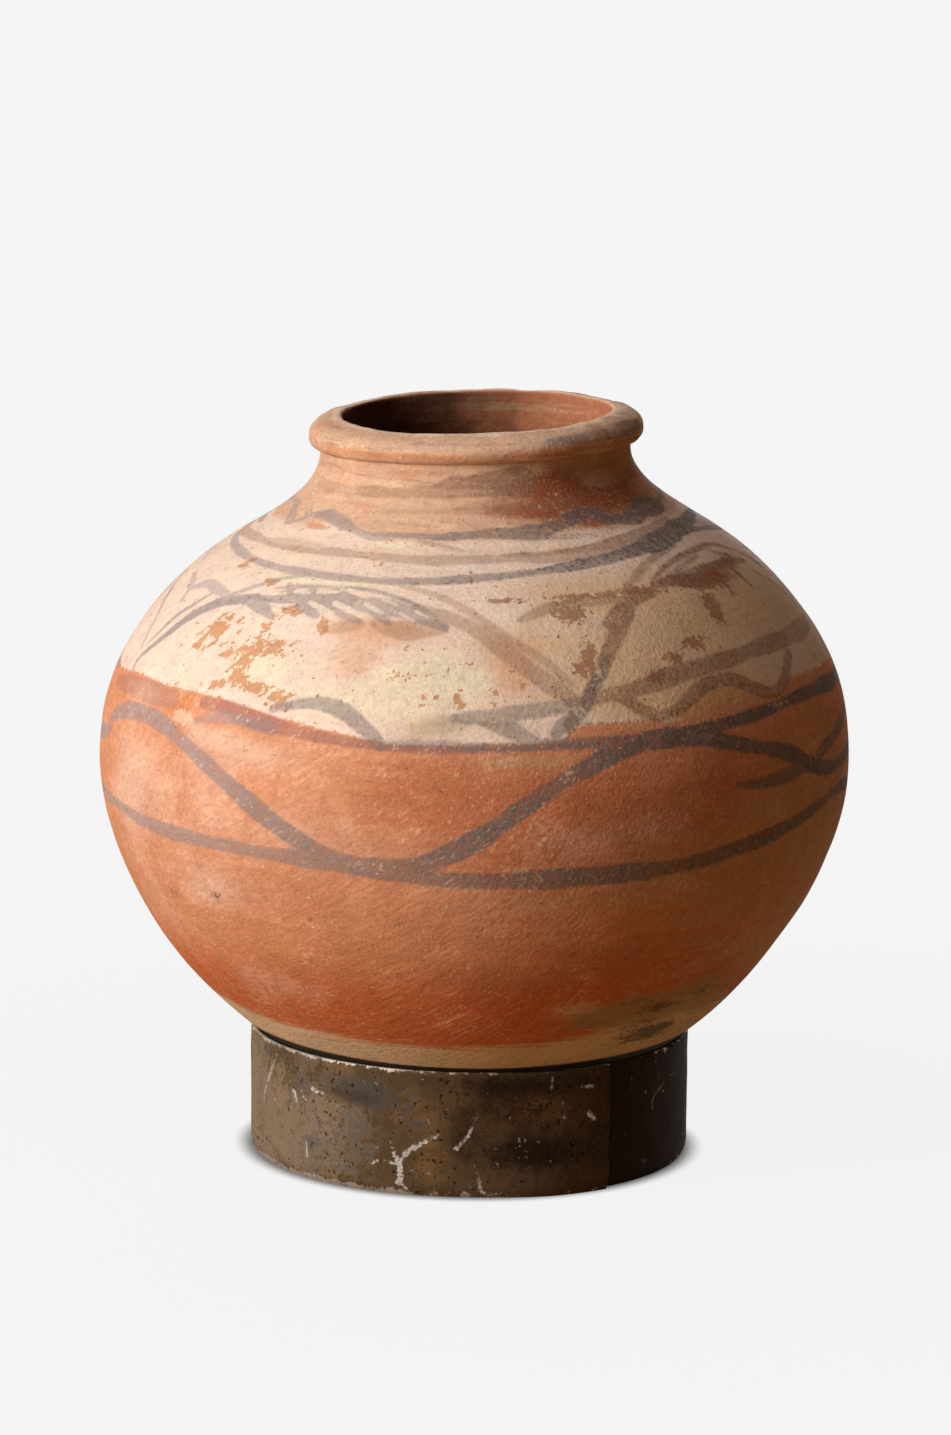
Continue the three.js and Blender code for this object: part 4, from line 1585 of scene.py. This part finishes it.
    def build(self, material: bpy.types.Material) -> None:
        """Makes each course as its own closed piece.

        Args:
            material: the finish of all the courses.
        """
        self.set_out()
        self.shape()
        self.paint()
        names = [(name, slot) for name, _, slot in self.courses]
        for number, (name, slot) in enumerate(names):
            outside = range(self.outer_ends[number], self.outer_ends[number + 1] + 1)
            inner = len(names) - 1 - number
            inside = range(self.inner_ends[inner], self.inner_ends[inner + 1] + 1)
            self.course(name, slot, [*outside, *inside], number > 0, material)
        rim = [*range(self.outer_ends[-1], self.inner_ends[0] + 1)]
        self.course("rim_coil", "bare_clay", rim, True, material)

    def course(
        self, name: str, slot: str, rows: list[int], closed: bool, material: bpy.types.Material
    ) -> None:
        """Makes one course.

        Args:
            name: the frame's node that it stands for.
            slot: a name for the course's finish; not used.
            rows: numbers of the wall's rows in order round the course.
            closed: whether its last row meets its first.
            material: its finish.
        """
        vertices, normals, numbers, kept = [], [], [], []
        count = 0
        for row in rows:
            pole = self.profile[row, 0] < self.POLE
            used = np.arange(1 if pole else self.columns)
            vertices.append(self.grid[row, used])
            normals.append(self.normals[row, used])
            kept.append(row * self.columns + used)
            ring = count + (np.zeros(self.columns, int) if pole else used)
            numbers.append(np.append(ring, ring[0]))
            count += len(used)
        piece = make_mesh(f"urn_{name}", np.vstack(vertices), numbers, closed)
        piece.data.normals_split_custom_set_from_vertices(np.vstack(normals).tolist())
        picked = np.concatenate(kept)
        for field, values in self.fields.items():
            add_field(piece, field, values[picked])
        piece.data.materials.append(material)
        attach(piece, self.body)
        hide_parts(name)
        log.info("%s: %d faces", piece.name, len(piece.data.polygons))


@dataclass
class RingStand:
    """The stand: one strip rolled into a ring, its outer end stepped over the other and brazed."""

    strip_thickness: float = 2.5
    curl_radius: float = 14.0
    curl_height: float = 6.5
    lap_bearing: float = 37.6
    lap_length: float = 24.0
    step_length: float = 46.0  # drawn longer than the frame's step, as the real one is hardly seen
    lap_step: float = 3.5
    edge_round: float = 0.7
    stations: int = 560
    face_spacing: float = 1.3
    end_turn: float = 0.08  # the outer end is cut unevenly over this turn, in radians
    notch_height: float = 24.0
    notch_reach: float = 2.5
    notch_depth: float = 1.6
    dents_start: tuple[float, float] = (0.24, 0.34)  # dents set in over this turn past the hidden end
    dents_end: float = 0.12  # and are gone this turn before the step, all in radians
    dents_below: tuple[float, float] = (0.5, 14.0)  # they set in over this way below the top edge
    nick_length: float = 9.0
    nick_rarity: float = 0.9  # only the waves' peaks above this cut the top edge
    nick_depth: float = 0.5
    nick_reach: float = 1.2
    worn_bearing: float = -55.0
    least_worn: float = 0.25  # share of the wear that is left on the side away from there
    worn_top: tuple[float, float] = (1.6, 0.2)  # the top edge is rubbed over this way below it
    worn_foot: tuple[float, float] = (1.0, 4.5)  # and the foot over this way above the floor
    lap_shadow_and_stain: float = 0.36  # how much darker the strip is just past the lap: painted shadow of the step, and darker patina
    lap_shadow_and_stain_turn: float = 1.0  # and how far round that fades, in radians
    sharp_deg: float = 50.0
    body: str = "stand"

    ARC = 30  # samples of the curled foot
    TURN = 8  # and of each rounded top edge
    RIPPLES = ((0.35, 0.45), (0.2, 1.3))  # depth of the ripples in the cut end, and radians to the millimetre
    DENT_WAVES = ((11, 70.0, 0.28), (12, 22.0, 0.12))  # seed, length and height of each set
    NICK_SEED = 13

    def __post_init__(self) -> None:
        """Takes the ring's size from the frame and sets out the turn of the strip, in radians."""
        low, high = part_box("stand_band")
        self.radius = (high.x - low.x) / 2 / MM
        self.height = high.z / MM
        self.edge = math.radians(self.lap_bearing)
        self.hidden = self.edge - self.lap_length / self.radius
        self.outer_end = self.edge + 2 * math.pi
        self.step_end = self.hidden + 2 * math.pi
        self.step_start = self.step_end - self.step_length / self.radius
        self.bearing = np.linspace(self.hidden, self.outer_end, self.stations)[:, None]

    def curl(self, radius: float, angles: np.ndarray) -> list[tuple[float, float]]:
        """Follows one face of the curled foot.

        Args:
            radius: the face's radius.
            angles: how far each point lies below the curl's middle, in radians.

        Returns:
            (outwards from the inner face, height) points.
        """
        centre = self.strip_thickness - self.curl_radius
        return [(centre + radius * math.cos(a), self.curl_height - radius * math.sin(a)) for a in angles]

    def section(self) -> np.ndarray:
        """Sets out the strip's closed section.

        Returns:
            (outwards from the inner face, height) points, from the outer foot up and over.
        """
        outer_end = math.asin(self.curl_height / self.curl_radius)
        inner_radius = self.curl_radius - self.strip_thickness
        inner_end = math.asin(self.curl_height / inner_radius)
        curl_out = self.curl(self.curl_radius, np.linspace(outer_end, 0, self.ARC))
        curl_in = self.curl(inner_radius, np.linspace(0, inner_end, self.ARC))
        soft, top, thick = self.edge_round, self.height, self.strip_thickness
        share = np.linspace(0, 1, self.TURN)
        outer_turn = bezier(((thick, top - soft), (thick, top), (thick - soft, top)), share)
        inner_turn = bezier(((soft, top), (0, top), (0, top - soft)), share)
        face = np.vstack([curl_out, outer_turn])
        back = np.vstack([inner_turn, curl_in])
        return np.vstack([evenly(face, self.face_spacing), evenly(back, 2 * self.face_spacing)])

    def bend(self, section: np.ndarray) -> np.ndarray:
        """Bends the strip into its ring, with its step, its uneven end, its dents and its nicks.

        Args:
            section: points of the strip's section.

        Returns:
            Places of the vertices, by station and place on the section.
        """
        bearing = self.bearing
        outwards, height = section[None, :, 0], section[None, :, 1]
        near_end = smooth_share(bearing, self.outer_end - self.end_turn, self.outer_end)
        bite = np.exp(-(((height - self.notch_height) / self.notch_reach) ** 2)) * self.notch_depth
        for depth, rate in self.RIPPLES:
            bite = bite + depth * np.sin(height * rate)
        turned = bearing - near_end * np.maximum(bite, 0) / self.radius
        stepped = self.lap_step * smooth_share(bearing, self.step_start, self.step_end)
        radius = self.radius - self.strip_thickness + outwards + stepped
        true = np.stack([radius * np.sin(turned), -radius * np.cos(turned), height + 0 * turned], axis=-1)
        dented = radius + self.dents(true, height)
        lowered = height - self.nicks(true, height)
        return np.stack([dented * np.sin(turned), -dented * np.cos(turned), lowered], axis=-1)

    def dents(self, true: np.ndarray, height: np.ndarray) -> np.ndarray:
        """Dents the face, clear of the lap and the top edge.

        Args:
            true: places of the vertices without dents.
            height: their heights.

        Returns:
            How far each vertex moves outwards.
        """
        start, full = (self.hidden + turn for turn in self.dents_start)
        clear = smooth_share(self.bearing, start, full)
        clear = clear * smooth_share(-self.bearing, -self.step_start, self.dents_end - self.step_start)
        dents = waviness(self.DENT_WAVES, true)
        dents *= clear * smooth_share(self.height - height, *self.dents_below)
        return dents

    def nicks(self, true: np.ndarray, height: np.ndarray) -> np.ndarray:
        """Nicks the top edge.

        Args:
            true: places of the vertices without nicks.
            height: their heights.

        Returns:
            How far each vertex moves down.
        """
        peaks = Unevenness(self.NICK_SEED, self.nick_length).at(true) - self.nick_rarity
        nicks = np.maximum(peaks, 0) * self.nick_depth
        return nicks * smooth_share(height, self.height - self.nick_reach, self.height)

    def build(self) -> None:
        """Makes the strip and dresses it and the braze."""
        section = self.section()
        grid = self.bend(section)
        rings = np.arange(grid.shape[0] * grid.shape[1]).reshape(grid.shape[:2])
        band = make_mesh("stand_band_strip", grid.reshape(-1, 3), [*rings.T], True)
        self.cap_ends(band, rings)
        self.mark(band, section)
        band.data.materials.append(BROWNED_STRIP.material())
        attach(band, self.body)
        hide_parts("stand_band")
        log.info("%s: %d faces", band.name, len(band.data.polygons))
        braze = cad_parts["lap_braze"]
        braze.data.materials.clear()
        braze.data.materials.append(TARNISHED_BRAZE.material())
        log.info("%s: dressed", braze.name)

    def mark(self, band: bpy.types.Object, section: np.ndarray) -> None:
        """Stores the chips, gouges, stains, painted shade and wear that the strip carries.

        Args:
            band: the strip.
            section: points of its section.
        """
        points = len(section)
        chart = PaintMap(
            np.degrees(np.repeat(self.bearing[:, 0], points)),
            np.tile(section[:, 1], self.stations),
            np.full(self.stations * points, self.radius),
        )
        outside = np.tile(np.arange(points) <= np.argmax(section[:, 1]), self.stations)
        for mark, strokes in ((Mark.CHIP, STAND_CHIPS), (Mark.GOUGE, STAND_GOUGES)):
            depth, load = chart.strokes(strokes, PAINTED_SIDES, np.asarray)
            add_field(band, mark.value, np.where(outside, depth, -chart.REACH))
            add_field(band, mark.value + "_load", load)
        past_lap = 1 - smooth_share(self.bearing, self.edge, self.edge + self.lap_shadow_and_stain_turn)
        for stain, patches in STAND_STAINS.items():
            strength = chart.patches(patches, PAINTED_SIDES, np.asarray)
            # painted shade, with the lap's painted shadow and darker patina added
            if stain is Stain.SHADE_AND_PATINA:
                strength += self.lap_shadow_and_stain * np.repeat(past_lap[:, 0], points)
            add_field(band, stain.value, strength)
        add_field(band, "rubbed", self.wear(chart))

    def wear(self, chart: PaintMap) -> np.ndarray:
        """Rubs the strip's two edges, most on the two sides that are handled.

        Args:
            chart: where each vertex lies.

        Returns:
            The wear at each vertex.
        """
        worn_side = 0.5 + 0.5 * np.cos(2 * (chart.bearing - math.radians(self.worn_bearing)))
        start, full = (self.height - way for way in self.worn_top)
        top_edge = smooth_share(chart.along, start, full)
        foot = 1 - smooth_share(chart.along, *self.worn_foot)
        return np.maximum(top_edge, foot) * (self.least_worn + (1 - self.least_worn) * worn_side)

    def cap_ends(self, band: bpy.types.Object, rings: np.ndarray) -> None:
        """Closes the strip's two cut ends.

        Args:
            band: the strip.
            rings: vertex numbers by station and place on the section.
        """
        mesh = band.data
        faces = [list(face.vertices) for face in mesh.polygons]
        faces.append(rings[0].tolist())
        faces.append(rings[-1][::-1].tolist())
        places = [tuple(vertex.co) for vertex in mesh.vertices]
        mesh.clear_geometry()
        mesh.from_pydata(places, [], faces)
        mesh.shade_smooth()
        mesh.set_sharp_from_angle(angle=math.radians(self.sharp_deg))


@dataclass(frozen=True)
class Lamp:
    """A square soft lamp: where it hangs from the urn in degrees, its width in metres and its watts."""

    name: str
    bearing: float
    elevation: float
    size: float
    power: float


@dataclass
class Studio:
    """A pale floor that runs to the horizon, three soft lamps and the camera, in metres.

    Most light comes from a window on the left, some from the ceiling, and a low lamp behind lights the far
    side's edges. The floor shows as bright as the background, keeps the object's shadow near its foot, and
    has a painted shadow close beside it.
    """

    background: str = "f5f5f5"
    floor_radius: float = 40.0
    floor_sides: int = 96
    foot_radius: float = 0.106  # middle of the ring's foot
    contact_shade: str = "5a5550"  # painted shadow on the floor close beside the foot
    contact_reach: float = 0.014
    contact_share: float = 0.95
    shadow_reach: float = 0.8  # how far from the foot the shadow shows
    shadow_share: float = 0.05
    bounce: str = "ac8458"  # the floor's colour in the light that it throws back
    fill_colour: str = "ffba7c"
    fill_strength: float = 0.082
    lamp_colour: str = "fffcfd"
    lamp_distance: float = 2.5
    lamps: tuple[Lamp, ...] = (
        Lamp("window_light", -57.0, 20.0, 1.1, 60.0),
        Lamp("ceiling_light", -35.0, 60.0, 1.6, 15.0),
        Lamp("back_light", 172.0, 5.0, 0.8, 26.0),
    )
    camera_place: tuple[float, float, float] = (0.0, -2.8, 0.724)
    camera_aim: tuple[float, float, float] = (0.0006, 0.0, 0.218)
    camera_roll_deg: float = 0.85
    lens: float = 143.0
    sensor_height: float = 36.0

    def build(self) -> None:
        """Sets the studio up."""
        scene = bpy.context.scene
        scene.view_settings.view_transform = "Standard"
        self.light_world(scene)
        self.lay_floor(scene)
        for lamp in self.lamps:
            self.hang(scene, lamp)
        self.stand_camera(scene)
        log.info("studio ready")

    def seen(self, add: partial) -> Socket:
        """Tells which rays show the background: those from the camera, from gloss and through glass.

        Args:
            add: adds a node to the material or the world.

        Returns:
            1 for such rays and 0 for others.
        """
        kinds = ("Camera", "Glossy", "Transmission")
        camera, gloss, glass = (add("ShaderNodeLightPath", {}, {}, f"Is {kind} Ray") for kind in kinds)
        either = add("ShaderNodeMath", {"operation": "MAXIMUM"}, {0: camera, 1: gloss})
        return add("ShaderNodeMath", {"operation": "MAXIMUM"}, {0: either, 1: glass})

    def light_world(self, scene: bpy.types.Scene) -> None:
        """Gives the world its pale look and its dim warm fill.

        Args:
            scene: the scene.
        """
        world = bpy.data.worlds.new("pale_room")
        world.use_nodes = True
        tree = world.node_tree
        tree.nodes.clear()
        add = partial(add_node, tree)
        warm = linear_colour(self.fill_colour)
        fill = add("ShaderNodeBackground", {}, {"Color": warm, "Strength": self.fill_strength})
        pale = add("ShaderNodeBackground", {}, {"Color": linear_colour(self.background), "Strength": 1.0})
        shown = add("ShaderNodeMixShader", {}, {0: self.seen(add), 1: fill, 2: pale})
        add("ShaderNodeOutputWorld", {}, {"Surface": shown})
        scene.world = world

    def lay_floor(self, scene: bpy.types.Scene) -> None:
        """Lays the floor, which shows pale and keeps the object's shadow.

        Args:
            scene: the scene.
        """
        mesh = bpy.data.meshes.new("floor")
        turn = np.linspace(0, 2 * math.pi, self.floor_sides, endpoint=False)
        rim = [(self.floor_radius * math.cos(a), self.floor_radius * math.sin(a), 0.0) for a in turn]
        mesh.from_pydata(rim, [], [list(range(len(rim)))])
        floor = bpy.data.objects.new("floor", mesh)
        scene.collection.objects.link(floor)
        mesh.materials.append(self.floor_finish())

    def floor_finish(self) -> bpy.types.Material:
        """Makes the floor's pale paper, with a painted shadow close beside the foot.

        Returns:
            The material.
        """
        material = bpy.data.materials.new("pale_paper_floor")
        material.use_nodes = True
        tree = material.node_tree
        tree.nodes.clear()
        add = partial(add_node, tree)
        point = add("ShaderNodeTexCoord", {}, {}, "Object")
        away = add("ShaderNodeVectorMath", {"operation": "LENGTH"}, {0: point}, "Value")
        past_foot = add("ShaderNodeMath", {"operation": "SUBTRACT"}, {0: away, 1: self.foot_radius})
        from_foot = add("ShaderNodeMath", {"operation": "ABSOLUTE"}, {0: past_foot})
        wide, close = (
            add(
                "ShaderNodeMapRange",
                {"interpolation_type": "SMOOTHSTEP"},
                {"Value": from_foot, "From Min": reach, "From Max": 0.0, "To Max": share},
            )
            for reach, share in (
                (self.shadow_reach, self.shadow_share),
                (self.contact_reach, self.contact_share),
            )
        )
        paper = add("ShaderNodeBsdfDiffuse", {}, {"Color": linear_colour(self.background)})
        shade = add("ShaderNodeBsdfDiffuse", {}, {"Color": linear_colour(self.contact_shade)})
        glow = add("ShaderNodeEmission", {}, {"Color": linear_colour(self.background), "Strength": 1.0})
        lit = add("ShaderNodeMixShader", {}, {0: wide, 1: glow, 2: paper})
        shown = add("ShaderNodeMixShader", {}, {0: close, 1: lit, 2: shade})
        dull = add("ShaderNodeBsdfDiffuse", {}, {"Color": linear_colour(self.bounce)})
        both = add("ShaderNodeMixShader", {}, {0: self.seen(add), 1: dull, 2: shown})
        add("ShaderNodeOutputMaterial", {}, {"Surface": both})
        return material

    def hang(self, scene: bpy.types.Scene, lamp: Lamp) -> None:
        """Hangs a lamp so that it faces the urn.

        Args:
            scene: the scene.
            lamp: the lamp.
        """
        light = bpy.data.lights.new(lamp.name, "AREA")
        light.shape = "SQUARE"
        light.size = lamp.size
        light.energy = lamp.power
        light.color = linear_colour(self.lamp_colour)[:3]
        hung = bpy.data.objects.new(lamp.name, light)
        turn, rise = math.radians(lamp.bearing), math.radians(lamp.elevation)
        level = math.cos(rise)
        towards = Vector((math.sin(turn) * level, -math.cos(turn) * level, math.sin(rise)))
        hung.location = Vector((0.0, 0.0, self.camera_aim[2])) + towards * self.lamp_distance
        hung.rotation_euler = towards.to_track_quat("Z", "Y").to_euler()
        scene.collection.objects.link(hung)

    def stand_camera(self, scene: bpy.types.Scene) -> None:
        """Stands the camera where the urn is seen from a little above its mouth.

        Args:
            scene: the scene.
        """
        view = bpy.data.cameras.new("camera")
        view.sensor_fit = "VERTICAL"
        view.sensor_height = self.sensor_height
        view.lens = self.lens
        camera = bpy.data.objects.new("camera", view)
        place, aim = Vector(self.camera_place), Vector(self.camera_aim)
        facing = (place - aim).to_track_quat("Z", "Y").to_matrix().to_4x4()
        roll = Matrix.Rotation(math.radians(self.camera_roll_deg), 4, "Z")
        camera.matrix_world = Matrix.Translation(place) @ facing @ roll
        scene.collection.objects.link(camera)
        scene.camera = camera


def main() -> None:
    """Builds the urn, its stand and the studio."""
    logging.basicConfig(level=logging.INFO)
    PaintedUrn().build(EARTHENWARE.material())
    RingStand().build()
    Studio().build()


if __name__ == "__main__":
    main()
